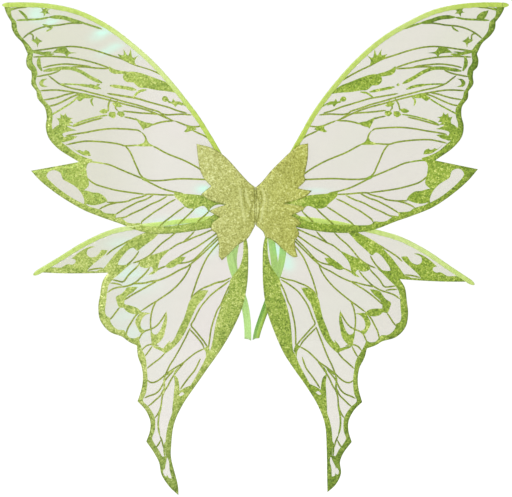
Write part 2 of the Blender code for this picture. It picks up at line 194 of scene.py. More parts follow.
UPPER_PRINT = {
    "clear": [
        (384, 335, CUSP), (380, 310), (378, 299), (370, 291), (367, 277), (361, 268), (350, 257), (342, 246),
        (341, 240), (342, 227), (336, 217), (334, 207), (337, 198), (333, 186), (329, 180), (327, 171),
        (320, 161), (316, 154), (316, 142), (319.5, 129), (318, 119), (312, 107), (302, 98), (288, 86),
        (272, 78.5), (262, 75), (270, 69, CUSP), (272, 63), (271, 52), (268, 35), (276, 27, CUSP), (279, 22),
        (275, 8), (268, 2), (258, -1), (249, -4), (244, -8), (224, -10, CUSP), (226, -16), (216, -17),
        (208, -23), (198, -25), (188, -24, CUSP), (182, -29), (160, -30.5), (130, -30), (100, -27), (80, -23),
        (64, -12, CUSP), (0, -10, CUSP), (-20, 335, CUSP),
    ],
    "holes": [
        [(310, 55), (318, 59), (325, 57), (329, 50), (320, 37.5), (305, 24), (290, 13), (276, 5.5, CUSP),
         (275, 10), (280, 23), (290, 34), (300, 40.5), (306, 44.5), (308, 50)],
    ],
    "blobs": [
        [(118, 176.5, CUSP), (133, 189), (150, 196), (165, 202), (180, 207), (191, 208), (199, 203),
         (199, 196), (194, 191), (184, 190, CUSP), (180, 186), (176, 183), (165, 182), (150, 179.7),
         (132, 178.5)],
        [(186, 203, CUSP), (192, 208), (205, 212), (214, 216), (221, 221, CUSP), (221, 213), (215, 207),
         (205, 205)],
        [(271, 241.5, CUSP), (284, 244), (290, 251), (300, 250), (311, 242, CUSP), (297, 241), (291, 239.5),
         (288, 234, CUSP), (284, 239.5)],
        [(318, 201, CUSP), (327, 200), (331.5, 194), (328, 188.5), (317, 188, CUSP), (325, 192), (324, 197)],
        [(248, 172, CUSP), (255, 176.5), (264, 178), (276, 171, CUSP), (270, 165.5), (262, 170), (254, 170)],
        [(92, 121, CUSP), (98, 125.5), (109, 127.5, CUSP), (108.5, 122), (113, 118, CUSP), (110, 116, CUSP),
         (101, 118.5)],
        [(205, 150, CUSP), (204, 145), (210, 141.5), (216, 146, CUSP), (213, 150)],
        [(218, 149.5, CUSP), (218, 144), (223, 140), (230, 143.5, CUSP), (227, 149)],
        [(228, 153, CUSP), (231, 148), (239, 147), (243, 150, CUSP), (236, 154)],
        [(204, 158, CUSP), (210, 163), (220, 163.5, CUSP), (217, 158.5), (210, 156.5)],
        [(286, 140, CUSP), (291, 138), (288, 132.5, CUSP), (294, 132), (289, 127.5, CUSP), (297, 128),
         (303, 126.5), (309, 129.5), (308, 134), (311, 141, CUSP), (305.5, 140), (304, 147, CUSP), (300, 144),
         (296, 148, CUSP), (294.5, 142)],
        [(284, 121.5, CUSP), (292, 124), (299, 128), (309, 130), (318, 124), (323, 118), (318, 105, CUSP),
         (303, 103.5), (304, 110), (306, 116), (298, 119.5)],
        [(285, 112, CUSP), (294, 113), (305, 110.5), (313, 104, CUSP), (303, 104), (294, 106.5)],
        [(265, 81.5, CUSP), (267, 87.5), (273, 91, CUSP), (277, 88.5), (283, 91.5, CUSP), (287, 90),
         (296, 97.5, CUSP), (290, 91), (284, 86.5), (276, 82.5)],
        [(270, 69, CUSP), (272, 63), (271, 52), (268, 35), (276, 27, CUSP), (280, 20), (275, 8), (276, 2),
         (300, 4), (330, 30), (352, 58), (320, 68), (284, 74), (276, 74)],
        [(238, 10, CUSP), (243, 17), (252, 23), (262, 24), (273, 27), (280, 26), (278, 8), (270, 5),
         (260, 3.5), (248, 6)],
        [(38, 6, CUSP), (60, 9), (80, 16), (95, 18), (112, 19.5), (130, 22, CUSP), (129, 16), (124, 10.5),
         (116, 4), (112, -1, CUSP), (105, -4), (94, -4, CUSP), (88, -1), (82, 0), (77, -4), (74, -10, CUSP),
         (70, -3), (60, 2), (38, 0, CUSP)],
        [(172, 42.5, CUSP), (180, 47.5), (187, 48.5, CUSP), (184, 44), (179, 41.5)],
        [(163, 96, CUSP), (171, 100), (176, 104), (179, 110, CUSP), (181, 103), (188, 100), (200, 97.5, CUSP),
         (186, 96.5), (174, 96.5)],
        [(133, 167, CUSP), (136, 172), (141, 172.5), (143.5, 168.5), (141, 165), (136, 165)],
        [(320, 315, CUSP), (323, 311), (329, 313, CUSP), (326, 308), (331, 305, CUSP), (325, 304.5),
         (324, 298.5, CUSP), (320, 303.5), (314, 303, CUSP), (318, 307), (314, 311, CUSP), (319, 310.5)],
        [(180, 221.5, CUSP), (182, 229), (176, 238, CUSP), (184.5, 234), (188, 248, CUSP), (192, 237.5),
         (199, 248, CUSP), (199, 238), (208, 240, CUSP), (203, 233)],
        [(326, 260, CUSP), (332, 263.5), (336, 268, CUSP), (338, 263), (344, 262.5, CUSP), (340, 258.5),
         (336, 256.5), (334, 250, CUSP), (331.5, 257)],
        [(310, 243, CUSP), (318, 244), (326, 243), (334, 244.5), (343, 247, CUSP), (338, 241), (331, 239),
         (324, 237.5, CUSP), (319, 241)],
        [(371, 313, CUSP), (378, 313), (386, 306, CUSP), (379, 308)],
        [(113, 158, CUSP), (117, 165.5, CUSP), (122, 163), (127, 170, CUSP), (129, 165), (136, 163, CUSP),
         (129, 161.5), (124, 156, CUSP), (121, 160)],
        [(159, 129.5, CUSP), (172, 133), (180, 136), (190, 141, CUSP), (185, 132), (180, 122, CUSP),
         (174, 126.5)],
    ],
    "strokes": {
        6.4: [
            [(262, 289.5), (275, 291.5), (288, 296), (300, 298), (315, 298)],
            [(330, 237), (332, 230), (331.5, 222), (327, 213)],
        ],
        5.6: [
            [(232, 193), (250, 202.5), (265, 211.5), (280, 217), (295, 217.5), (310, 215.4), (325, 213)],
        ],
        4.4: [
            [(180, 180), (190, 182), (205, 185), (220, 188)],
            [(238, 184), (248, 188), (258, 190), (270, 191.5)],
            [(308, 240), (318, 238.5), (330, 242), (344, 243)],
        ],
        3.2: [
            [(232, 279), (250, 285), (266, 290)],
            [(315, 298), (330, 295), (350, 294), (369, 293)],
            [(309, 284.5), (314, 279), (320.5, 275.5)],
            [(165, 180), (176, 178), (186, 171)],
            [(247, 172), (252, 166), (250, 158)],
        ],
        2.6: [
            [(238, 184), (255, 189.5), (270, 191.5), (290, 192.4), (300, 192)],
            [(243, 69), (250, 70.5), (262, 72), (275, 72)],
            [(104, 156), (112, 160.5), (120, 164), (130, 163.4), (137, 167)],
            [(272, 172), (280, 166), (295, 157), (310, 149), (320, 143.5)],
            [(231, 144.5), (240, 143.4), (260, 139), (280, 133), (290, 128)],
        ],
    },
    "veins": {
        2.7: [
            [(182, 45), (190, 48.5), (205, 54.6), (220, 61), (235, 67.4), (246, 70)],
            [(350, 314), (366, 312.5), (381, 309)],
            [(262, 288), (280, 288.5), (300, 285.5), (320, 283.5), (335, 279), (348, 272), (358, 264)],
            [(350, 271), (345, 272), (341, 269), (341, 264), (337, 260)],
            [(137, 198), (150, 206), (165, 214), (180, 221), (200, 231.5), (220, 238), (240, 244.5),
             (260, 249.5), (280, 251.7), (300, 250.3), (320, 247.5), (342, 244.5)],
            [(221, 218), (240, 224.6), (260, 230), (280, 233.8), (300, 235.6), (320, 236), (341, 235)],
            [(221, 216.5), (240, 217.5), (260, 219.5), (280, 219.5)],
            [(250, 220), (270, 222.5), (290, 224), (310, 222), (326, 218.3)],
            [(298, 214), (310, 209.3), (325, 206), (336, 204)],
            [(127, 134.5), (130, 135), (145, 144), (150, 149), (165, 154), (180, 159.5), (200, 165),
             (210, 168), (230, 173.7), (250, 178.8), (265, 182.8), (280, 185.8), (293, 190), (300, 193),
             (308, 199), (317, 206)],
            [(135, 137), (150, 144.5), (165, 150.8), (180, 155.8), (200, 161), (230, 169.2), (250, 174),
             (262, 176.5), (275, 179), (290, 181.5), (305, 183), (330, 182)],
            [(275, 179), (290, 176), (305, 171.3), (326, 167.5)],
            [(265, 178), (280, 173), (295, 166), (310, 160), (321, 158)],
            [(107, 146.5), (120, 150), (135, 156), (150, 160.5), (165, 165), (180, 169.5), (200, 173),
             (225, 177.4)],
            [(100, 143.5), (115, 145), (140, 144.6), (147, 147)],
            [(150, 145.5), (165, 147), (180, 148), (195, 149.6), (206, 151)],
            [(212, 150), (216, 155), (214, 160), (210, 168)],
            [(228, 150), (226, 160), (220, 170)],
            [(240, 140.5), (260, 135.7), (280, 130), (290, 127)],
            [(183, 118), (188, 121.5), (195, 122.5), (210, 123.6), (230, 124), (250, 122), (270, 118.5),
             (290, 115.4), (302, 113)],
            [(190, 98.5), (205, 97.5), (212, 97.5), (220, 100), (235, 102.5), (255, 104.3), (275, 104.6),
             (290, 102), (302, 99)],
            [(211, 97.5), (205, 91), (200, 82), (196, 72), (191, 61), (187, 52), (180, 45)],
            [(180, 21), (200, 23.5), (225, 27.4), (245, 32.6), (258, 37), (266, 42.3), (271, 47)],
            [(175, 20.5), (185, 17), (200, 13), (205, 10.5), (222, 8), (240, 8.3)],
            [(222, 8), (235, 5), (245, 1), (252, -3)],
            [(165, 20), (180, 12), (190, 9), (200, 4), (212, -2.3), (226, -11)],
            [(142, 17), (155, 10.5), (170, 5), (185, -3), (200, -9.5), (212, -15.5), (226, -17)],
            [(58, 37), (73, 48), (90, 59.7), (110, 70.6), (125, 77), (140, 83), (150, 88), (160, 93.7),
             (168, 97.5)],
            [(165, 96.5), (173, 100), (176, 104), (179, 113), (183, 118.5)],
            [(163, 130.7), (172, 132), (180, 133), (186, 137)],
            [(176, 125), (168, 128.5), (163, 130.7)],
            [(130, 134.4), (140, 134.5), (150, 133.3), (160, 131), (165, 129.5)],
            [(186, 137), (195, 139.8), (206, 142)],
            [(70, 103), (80, 110.4), (90, 115), (100, 120)],
            [(84, 126), (98, 125), (108, 127), (118, 131), (127, 134.6)],
            [(60, 41), (85, 42), (100, 42.6), (125, 43.2), (150, 42), (170, 42.6), (180, 45)],
            [(115, 20), (125, 22), (135, 24.3), (150, 29), (165, 36), (180, 43.7)],
            [(128, 18), (150, 19.2), (165, 20.6), (180, 21)],
            [(127, 11.5), (140, 5.7), (152, -1), (165, -8), (175, -15), (184, -22), (186, -27)],
            [(112, -1), (125, -9), (137, -17), (148, -24), (156, -31)],
            [(95, -3), (105, -13), (113, -20), (124, -30)],
            [(73, -8), (80, -15), (86, -20), (94, -29)],
        ],
    },
}
# Printed areas and strokes of the upper wing that only one side has.
ONE_SIDE = {
    "right": {
        "blobs": [
            [(348, 293, CUSP), (350, 300), (357, 306), (368, 309, CUSP), (365, 301), (360, 294.5)],
            [(222, 191, CUSP), (225, 194, CUSP), (228, 191.5, CUSP), (225, 188.5, CUSP)],
        ],
        "strokes": {},
    },
    "left": {
        "blobs": [
            [(235, 191, CUSP), (239, 192.5, CUSP), (242, 190, CUSP), (238, 188.5, CUSP)],
        ],
        "strokes": {
            4.6: [
                [(365, 309), (358, 304), (352, 298), (350, 291.5)],
                [(326, 286.5), (316, 283), (312, 280.5)],
            ],
            4.0: [
                [(334, 243), (324, 240.5), (312, 243)],
                [(252, 192), (243, 188), (234, 184.5)],
            ],
        },
    },
}
LOWER_PRINT = {
    "clear": [
        (19, -44, CUSP), (19, -62), (20, -78), (23.5, -92), (28, -101), (34, -109), (39, -117, CUSP),
        (41, -134), (46, -146), (51, -163), (55, -182), (57, -200), (58, -216), (60, -230), (64, -236),
        (67, -245), (77, -265), (86, -281, CUSP), (95, -285), (103, -290, CUSP), (104, -280), (107, -270),
        (112, -266, CUSP), (111, -280), (112, -300), (113, -325), (117, -338), (120, -352), (121.5, -370),
        (121, -394, CUSP), (126, -395), (131, -386), (139, -375), (143, -367), (139.5, -356), (139, -342),
        (141, -332), (150, -318), (160, -308), (156, -297), (154, -276), (156, -258), (159, -243),
        (168, -228), (173, -218), (175, -212, CUSP), (180, -215), (190, -214), (195, -208), (199, -204),
        (208, -204), (216, -199), (221, -192), (222, -186), (227, -184), (230, -177), (229, -160),
        (228, -145), (226, -134), (221, -125), (226, -113.5, CUSP), (245, -113.5), (270, -115), (300, -116),
        (334, -117.8, CUSP), (380, -60, CUSP), (200, 30, CUSP), (0, 30, CUSP), (0, -44, CUSP),
    ],
    "holes": [
        [(95, -294.5, CUSP), (99, -292), (104, -297, CUSP), (101, -298.5)],
        [(119, -396), (122, -403), (126, -411), (127, -416), (124.5, -426), (121, -427), (120, -415),
         (117.5, -402)],
        [(128, -413), (131.5, -418), (130, -424), (127, -423)],
        [(214, -134, CUSP), (220, -132.5), (226, -134), (226, -138), (219, -137)],
    ],
    "blobs": [
        [(140, -36, CUSP), (160, -41), (166, -44), (178, -50), (190, -57), (197, -62.5), (203, -69),
         (210, -76.5), (217, -84), (223, -92), (229, -100), (236, -109), (245, -113), (242, -118, CUSP),
         (228, -117), (222, -127, CUSP), (212, -118), (206, -112), (198, -104), (191, -98, CUSP), (200, -101),
         (208, -102.5), (213, -102, CUSP), (212, -97), (206, -88), (200, -80), (195, -75.5), (190, -73.5),
         (184, -78), (177, -72), (168, -64), (160, -57), (153, -49)],
        [(230, -80, CUSP), (240, -80), (243, -85), (248, -90), (256, -92.5), (262, -89), (262, -81),
         (250, -75, CUSP), (257, -75), (266, -79), (277, -86.5), (284, -93), (287, -95.5, CUSP), (281, -97),
         (280, -101), (285, -105), (292, -104.5), (297, -107), (303, -110.5), (318, -111), (336, -119),
         (300, -119), (262, -118), (260, -112), (254, -105), (247, -98.5), (239, -91.5), (233, -85.5)],
        [(132, -70, CUSP), (140, -73), (150, -78), (160, -82), (168, -87), (176, -92), (182, -98, CUSP),
         (178, -102), (168, -103.5), (161, -101), (158, -106), (165, -113, CUSP), (152, -105), (150, -97),
         (147, -88), (140, -79)],
        [(109, -82, CUSP), (119, -82), (127, -87), (134, -92), (141, -99, CUSP), (134, -101), (127, -99),
         (120, -94), (114, -90)],
        [(148, -103, CUSP), (157, -106), (166, -113, CUSP), (157, -110.5)],
        [(180, -131, CUSP), (190, -132.5), (197, -135), (201, -141), (206, -147), (214, -153), (212, -161),
         (208, -169), (201, -168), (197, -172), (187, -174.5), (178, -173), (172, -170, CUSP), (179, -164),
         (189, -162), (200, -162, CUSP), (200, -155), (195, -147), (188, -141)],
        [(134, -164, CUSP), (132.5, -172), (132, -182), (134, -195), (136, -205), (141, -214), (147, -219),
         (153, -222, CUSP), (155, -212), (157, -203), (157, -195, CUSP), (153, -202), (148, -203),
         (143, -197), (139, -187), (136, -176)],
        [(157, -170, CUSP), (165, -169), (173, -169.5), (179, -177), (182, -186), (178, -195), (173, -202),
         (170, -202, CUSP), (166, -198), (172, -194), (173.5, -187), (171, -179), (166, -173)],
        [(72, -129, CUSP), (81, -129), (90, -134), (96, -140), (100, -148), (103, -162), (106, -175),
         (111, -188), (115, -198), (118, -206), (122, -213), (128, -218), (134, -224), (142, -222),
         (152, -220, CUSP), (150, -223.5), (141, -227), (134, -230), (130, -232.5, CUSP), (122, -226),
         (114, -217), (108, -208), (103, -198), (99, -188), (95, -176), (91, -164), (86, -152), (79, -142)],
        [(60, -228, CUSP), (62, -222), (65, -219), (72, -222, CUSP), (67, -227), (65, -238, CUSP)],
        [(86, -281, CUSP), (95, -285), (103, -290), (104, -280), (107, -270), (112, -266), (111, -280),
         (112, -300), (111, -330), (100, -330), (84, -298)],
        [(120, -427, CUSP), (126, -427), (134, -416), (136, -424), (128, -442), (113, -452), (112, -425)],
    ],
    "strokes": {
        3.0: [
            [(105, -252), (111, -261), (113, -268)],
            [(112, -256), (121, -263), (128, -268)],
            [(126, -266), (128, -275), (127, -285), (129, -297)],
            [(130, -312), (132, -322), (134, -334), (134, -348), (131, -362)],
            [(122, -372), (123, -382), (122.5, -395)],
            [(125, -403), (129, -409), (132, -415)],
            [(125, -212), (128, -217), (133, -223)],
        ],
    },
    "veins": {
        2.6: [
            [(50, -30), (72, -39), (85, -45), (95, -49), (105, -54), (113, -58), (122, -62), (130, -68),
             (136, -73)],
            [(96, -40), (105, -50), (113, -57)],
            [(124, -42), (135, -52.5), (145, -61), (155, -72), (163, -82), (170, -88), (180, -94),
             (190, -98)],
            [(181, -78), (186, -87), (192, -95), (200, -102)],
            [(163, -102), (170, -111), (177, -118), (183, -124), (190, -129), (200, -134), (210, -137),
             (220, -141), (228, -147)],
            [(180, -99), (185, -105), (190, -110), (197, -118), (202, -126), (205, -128), (212, -127.5),
             (222, -126)],
            [(205, -133.5), (213, -132), (224, -131.5)],
            [(50, -35), (74, -52), (85, -60), (95, -67), (105, -73), (113, -78), (119, -82)],
            [(44, -37), (62, -55), (70, -63), (80, -73), (90, -83), (100, -92), (106, -97), (112, -100),
             (120, -104), (130, -110), (140, -115), (150, -119), (160, -121), (170, -124), (180, -126),
             (190, -128)],
            [(50, -39), (68, -56), (78, -66), (88, -77), (97, -86), (105, -90), (113, -92), (122, -94)],
            [(100, -93), (104, -102), (110, -112), (118, -122), (128, -132), (140, -142), (150, -150),
             (160, -157), (173, -167)],
            [(46, -46), (62, -63), (68, -70), (75, -80), (80, -90), (85, -102), (90, -115), (94, -128),
             (98, -142)],
            [(150, -119), (160, -125), (170, -131), (180, -138), (190, -146), (201, -156)],
            [(138, -98), (147, -102), (157, -108)],
            [(150, -150), (154, -158), (157, -170), (158, -180), (157.5, -190), (156, -200)],
            [(134, -167), (139, -177), (145, -186), (150, -191), (157, -195), (165, -198), (170, -202),
             (173, -208), (176, -215)],
            [(172, -166), (180, -174), (185, -182), (189, -190), (193, -198), (195, -206), (196, -211)],
            [(207, -168), (213, -177), (219, -186), (223, -190)],
            [(36, -117), (42, -127), (47, -138), (51, -150), (56, -160), (59, -172), (61.5, -183), (63, -195),
             (63.5, -208), (63.5, -222)],
            [(40, -116), (50, -122), (60, -129), (68, -136), (75, -145), (81, -154), (86, -165), (90, -176),
             (94, -186), (88, -193), (80, -202), (71, -212), (64, -221)],
            [(96, -192), (90, -198), (82, -206), (74, -215), (70, -222)],
            [(38, -112), (50, -116), (60, -118), (70, -122), (80, -126), (90, -133), (96, -140)],
            [(95, -190), (99, -200), (105, -215), (110, -228), (115, -240), (120, -250), (124, -260),
             (127, -268)],
            [(130, -231), (137, -240), (145, -247), (156, -257)],
            [(70, -222), (82, -229), (92, -238), (100, -246), (110, -253), (118, -259), (125, -264),
             (132, -271), (140, -277), (148, -279), (155, -275)],
            [(98, -245), (107, -257), (113, -266), (118, -275), (122, -284), (127, -292), (130, -302),
             (131, -314), (134, -325), (140, -335)],
            [(113, -258), (120, -266), (126, -274), (130, -282), (135, -291), (142, -297), (150, -300),
             (158, -304)],
            [(128, -288), (133, -299), (140, -306), (147, -313), (152, -317)],
            [(73.5, -238), (80, -256), (88, -267), (95, -277), (102, -288)],
            [(131, -362), (127, -371), (124, -382)],
            [(129, -369), (133, -377), (137, -382)],
            [(142, -221), (148, -219), (155, -219), (162, -222), (168, -229)],
            [(152, -221), (157, -231), (162, -239)],
            [(195, -61), (205, -68), (215, -74), (225, -81), (232, -88)],
            [(236, -108.5), (248, -110), (260, -113)],
        ],
    },
}

# ------------------------------------------------------------------------------ curves in the plane


def smooth_run(points, spacing):
    """Points along a centripetal Catmull-Rom curve through these points, about one per spacing."""
    points = [np.array(p, float) for p in points]
    ends = [2 * points[0] - points[1], *points, 2 * points[-1] - points[-2]]
    run = [points[0]]
    for p0, p1, p2, p3 in zip(ends, ends[1:], ends[2:], ends[3:]):
        steps = max(1, round(np.linalg.norm(p2 - p1) / spacing))
        t0, t1 = 0.0, np.linalg.norm(p1 - p0) ** 0.5
        t2 = t1 + np.linalg.norm(p2 - p1) ** 0.5
        t3 = t2 + np.linalg.norm(p3 - p2) ** 0.5
        for step in range(1, steps + 1):
            t = t1 + (t2 - t1) * step / steps
            a1 = ((t1 - t) * p0 + (t - t0) * p1) / (t1 - t0)
            a2 = ((t2 - t) * p1 + (t - t1) * p2) / (t2 - t1)
            a3 = ((t3 - t) * p2 + (t - t2) * p3) / (t3 - t2)
            b1 = ((t2 - t) * a1 + (t - t0) * a2) / (t2 - t0)
            b2 = ((t3 - t) * a2 + (t - t1) * a3) / (t3 - t1)
            run.append(((t2 - t) * b1 + (t - t1) * b2) / (t2 - t1))
    return run


def outline(points, spacing):
    """Points along an open outline that is smooth between its cusps."""
    traced, run = [], []
    for point in points:
        run.append(point[:2])
        if len(point) == 3 and len(run) > 1:
            traced += smooth_run(run, spacing)[:-1]
            run = [point[:2]]
    return traced + (smooth_run(run, spacing) if len(run) > 1 else [np.array(run[0], float)])


def closed_outline(points, spacing):
    """Points round a closed outline. One that has no cusp is smooth all round."""
    first = next((i for i, p in enumerate(points) if len(p) == 3), None)
    if first is None:
        looped = [points[-2], points[-1], *points, points[0], points[1]]
        curve = np.array(smooth_run(looped, spacing))
        start = np.argmin(np.linalg.norm(curve - points[0], axis=1))
        left = curve[start + 1 :]
        end = np.argmin(np.linalg.norm(left - points[0], axis=1))
        return list(curve[start : start + 1 + end])
    turned = [*points[first:], *points[:first]]
    return outline([*turned, (*turned[0][:2], CUSP)], spacing)[:-1]


def right_normals(line):
    """Each point's unit normal in the plane, to the right of the way the line runs."""
    line = np.array(line)
    along = np.gradient(line, axis=0)
    across = np.stack([along[:, 1], -along[:, 0]], axis=1)
    return across / np.linalg.norm(across, axis=1)[:, None]


def inward(line, distance):
    return np.array(line) + right_normals(line) * distance


def distance_along(line):
    """How far along a line each of its points lies."""
    return np.concatenate([[0], np.cumsum(np.linalg.norm(np.diff(line, axis=0), axis=1))])


def stroke(points, width, spacing=3.0):
    """A closed outline round a line, with pointed ends that taper over one width."""
    line = np.array(smooth_run(points, spacing))
    reach = distance_along(line)
    ends = np.minimum(reach, reach[-1] - reach) / (1.5 * width)
    half = width / 2 * (0.35 + 0.65 * np.clip(ends, 0, 1))
    offset = right_normals(line) * half[:, None]
    return list(line + offset) + list((line - offset)[::-1])


def lifted(point):
    """A point of the left lower wing. It stands higher, turned about the root, and its tail hangs further
    out and down, with the tip bent inwards."""
    x, z = point
    angle = LEFT_LIFT * ease((math.hypot(x, z) - LIFT_START) / (LIFT_FULL - LIFT_START))
    tip = ease((-z - 385) / 65)
    outward = 4.5 * ease((-z - 200) / 60) - 16 * tip
    down = 6.5 * ease((-z - 190) / 70) * ease((x - 30) / 60) + 3.5 * tip
    turned = (x * math.cos(angle) - z * math.sin(angle), x * math.sin(angle) + z * math.cos(angle))
    return np.array([turned[0] + outward, turned[1] - down])


def lifted_print(point):
    """A point of the print on the left lower wing, which sits a little lower across its middle."""
    x, z = point
    down = 6.5 * ease((-z - 90) / 50) * (1 - ease((-z - 190) / 70) * ease((x - 30) / 60))
    down *= ease((x - 25) / 25) * (1 - ease((x - 165) / 55))
    return lifted(point) - np.array([0, down])


def ease(value):
    value = np.clip(value, 0, 1)
    return value * value * (3 - 2 * value)


def spread(point):
    """A point of the left upper wing's film: its outer half sits further out and its lower edge lower."""
    x, z = point
    high = ease((z - 100) / 90)
    outward = 10 * high * ease((x - 60) / 160) * (1 - ease((x - 350) / 70))
    low = (1 - high) * ease((x - 100) / 80)
    outward += low * (3 * ease((x - 320) / 30) - 5 * (1 - ease((x - 280) / 50)))
    up = 5 * ease(1.3 - math.hypot((x - 165) / 70, (z - 196) / 24))
    return np.array([x + outward, z - 2.5 * low + up])


def drawn_in(point):
    """A point of the left upper leading edge, whose lower half runs a little further in."""
    x, z = point
    inset = 3.7 * ease((x - 60) / 50) * (1 - ease((x - 185) / 60))
    return np.array([x + 0.74 * inset, z - 0.67 * inset])


def same(point):
    return np.array(point[:2], float)


def inside(points, polygon):
    """Whether each point lies inside a polygon."""
    polygon = np.array(polygon)
    x, z = points[:, 0], points[:, 1]
    found = np.zeros(len(points), bool)
    near = (x >= polygon[:, 0].min()) & (x <= polygon[:, 0].max())
    near &= (z >= polygon[:, 1].min()) & (z <= polygon[:, 1].max())
    x, z = x[near], z[near]
    within = np.zeros(len(x), bool)
    for (x1, z1), (x2, z2) in zip(polygon, np.roll(polygon, -1, axis=0)):
        if z1 != z2:
            within ^= ((z1 > z) != (z2 > z)) & (x < (x2 - x1) * (z - z1) / (z2 - z1) + x1)
    found[near] = within
    return found


def any_inside(points, loops):
    """Whether each point lies inside one of these loops."""
    found = np.zeros(len(points), bool)
    for loop in loops:
        found |= inside(points, loop)
    return found


def distance_to_line(points, line):
    """Each point's distance from an open line."""
    line = np.array(line, float)
    best = np.full(len(points), np.inf)
    for a, b in zip(line, line[1:]):
        d = b - a
        t = np.clip(((points - a) @ d) / max(d @ d, 1e-12), 0, 1)
        best = np.minimum(best, np.linalg.norm(points - a - t[:, None] * d, axis=1))
    return best


def distance_to(points, loop):
    """Each point's distance from a closed loop."""
    return distance_to_line(points, [*loop, loop[0]])


def plane_mesh(boundary, loops, grid):
    """Points and triangles over the area inside a boundary, with each loop's lines as edges of the mesh."""
    coords, edges = [], []
    for loop in [boundary, *loops]:
        first = len(coords)
        coords += [Vector((float(p[0]), float(p[1]))) for p in loop]
        count = len(loop)
        edges += [(first + i, first + (i + 1) % count) for i in range(count)]
    edge_array = np.array(boundary)
    low, high = edge_array.min(axis=0), edge_array.max(axis=0)
    rows = np.arange(low[1], high[1], grid * 0.87)
    columns = np.arange(low[0], high[0], grid)
    seeds = np.array([(x + (row % 2) * grid / 2, z) for row, z in enumerate(rows) for x in columns])
    seeds = seeds[inside(seeds, boundary)]
    seeds = seeds[distance_to(seeds, boundary) > grid * 0.4]
    coords += [Vector((float(x), float(z))) for x, z in seeds]
    points, _, faces = delaunay_2d_cdt(coords, edges, [], 0, 1e-4)[:3]
    points = np.array([tuple(p) for p in points])
    faces = np.array([f for f in faces if len(f) == 3])
    middles = points[faces].mean(axis=1)
    faces = faces[inside(middles, boundary)]
    return points, faces


def new_object(name, points, faces, materials, face_material=None, values=None):
    """A mesh object from points in millimetres. values holds numbers for each point by name. Where the faces
    are an array of triangles, points that none of them uses are left out."""
    if isinstance(faces, np.ndarray):
        used, faces = np.unique(faces, return_inverse=True)
        points = np.array(points)[used]
        values = {key: numbers[used] for key, numbers in (values or {}).items()}
        faces = faces.reshape(-1, 3).tolist()
    mesh = bpy.data.meshes.new(name)
    mesh.from_pydata([tuple(p) for p in np.array(points) * MM], [], faces)
    for material in materials:
        mesh.materials.append(material)
    if face_material is not None:
        mesh.polygons.foreach_set("material_index", np.array(face_material, np.int32))
    for key, numbers in (values or {}).items():
        layer = mesh.attributes.new(key, "FLOAT", "POINT")
        layer.data.foreach_set("value", numbers.astype(np.float32))
    mesh.shade_smooth()
    mesh.update()
    piece = bpy.data.objects.new(name, mesh)
    bpy.context.scene.collection.objects.link(piece)
    return piece


def outward_faces(piece):
    """Turns every face of a closed piece to look outwards."""
    data = bmesh.new()
    data.from_mesh(piece.data)
    bmesh.ops.recalc_face_normals(data, faces=data.faces)
    data.to_mesh(piece.data)
    data.free()
    return piece


def into_frame(piece, body, node=None):
    """Ties a piece to its body, and hides the CAD node that it stands for."""
    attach(piece, body)
    if node:
        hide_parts(node)


# ------------------------------------------------------------------------------ materials


class Shader:
    """A material with one Principled BSDF, and a short way to add the nodes that feed it."""

    def __init__(self, name, **values):
        self.material = bpy.data.materials.new(name)
        self.material.use_nodes = True
        self.nodes = self.material.node_tree.nodes
        self.links = self.material.node_tree.links
        self.surface = self.nodes["Principled BSDF"]
        self.set(self.surface, values)
        self.coords = self.node("TexCoord").outputs["Object"]

    def set(self, node, values):
        for key, value in values.items():
            if hasattr(node, key) and key not in node.inputs:
                setattr(node, key, value)
            elif isinstance(value, bpy.types.NodeSocket):
                self.links.new(value, node.inputs[key])
            else:
                node.inputs[key].default_value = value

    def node(self, kind, **values):
        made = self.nodes.new("ShaderNode" + kind)
        self.set(made, values)
        return made

    def feed(self, **values):
        self.set(self.surface, {key.replace("_", " "): value for key, value in values.items()})

    def ramp(self, factor, stops):
        node = self.node("ValToRGB", Fac=factor)
        elements = node.color_ramp.elements
        while len(elements) < len(stops):
            elements.new(0.5)
        for element, (position, colour) in zip(elements, stops):
            element.position = position
            element.color = (*colour, 1)
        return node.outputs["Color"]

    def maths(self, operation, first, second=0.0, third=0.0):
        node = self.node("Math", operation=operation)
        for socket, value in zip(node.inputs, (first, second, third)):
            if isinstance(value, bpy.types.NodeSocket):
                self.links.new(value, socket)
            else:
                socket.default_value = value
        return node.outputs[0]

    def mix(self, factor, first, second, blend="MIX"):
        node = self.node("Mix", data_type="RGBA", blend_type=blend)
        for index, value in ((0, factor), (6, first), (7, second)):
            if isinstance(value, bpy.types.NodeSocket):
                self.links.new(value, node.inputs[index])
            else:
                node.inputs[index].default_value = value if index == 0 else (*value, 1)
        return node.outputs[2]

    def noise(self, size, detail=3.0, roughness=0.55):
        """Noise with features about this many millimetres across."""
        scale = 1 / (size * MM)
        node = self.node("TexNoise", Vector=self.coords, Scale=scale, Detail=detail, Roughness=roughness)
        return node.outputs["Fac"]

    def cells(self, size):
        """Flat random cells about this many millimetres across."""
        return self.node("TexVoronoi", Vector=self.coords, Scale=1 / (size * MM)).outputs["Color"]

    def place(self, axis):
        """The point's X, Y or Z in metres."""
        return self.node("SeparateXYZ", Vector=self.coords).outputs[axis]

    def attribute(self, name):
        return self.node("Attribute", attribute_name=name).outputs["Fac"]

    def between(self, value, start, end, top=1.0, base=0.0):
        """Goes from base to top as the value goes from start to end, and stays level beyond them."""
        limits = {"From Min": start, "From Max": end, "To Min": base, "To Max": top}
        return self.node("MapRange", Value=value, **limits).outputs["Result"]

    def bump(self, height, distance, strength=1.0):
        node = self.node("Bump", Height=height, Distance=distance * MM, Strength=strength)
        return node.outputs["Normal"]


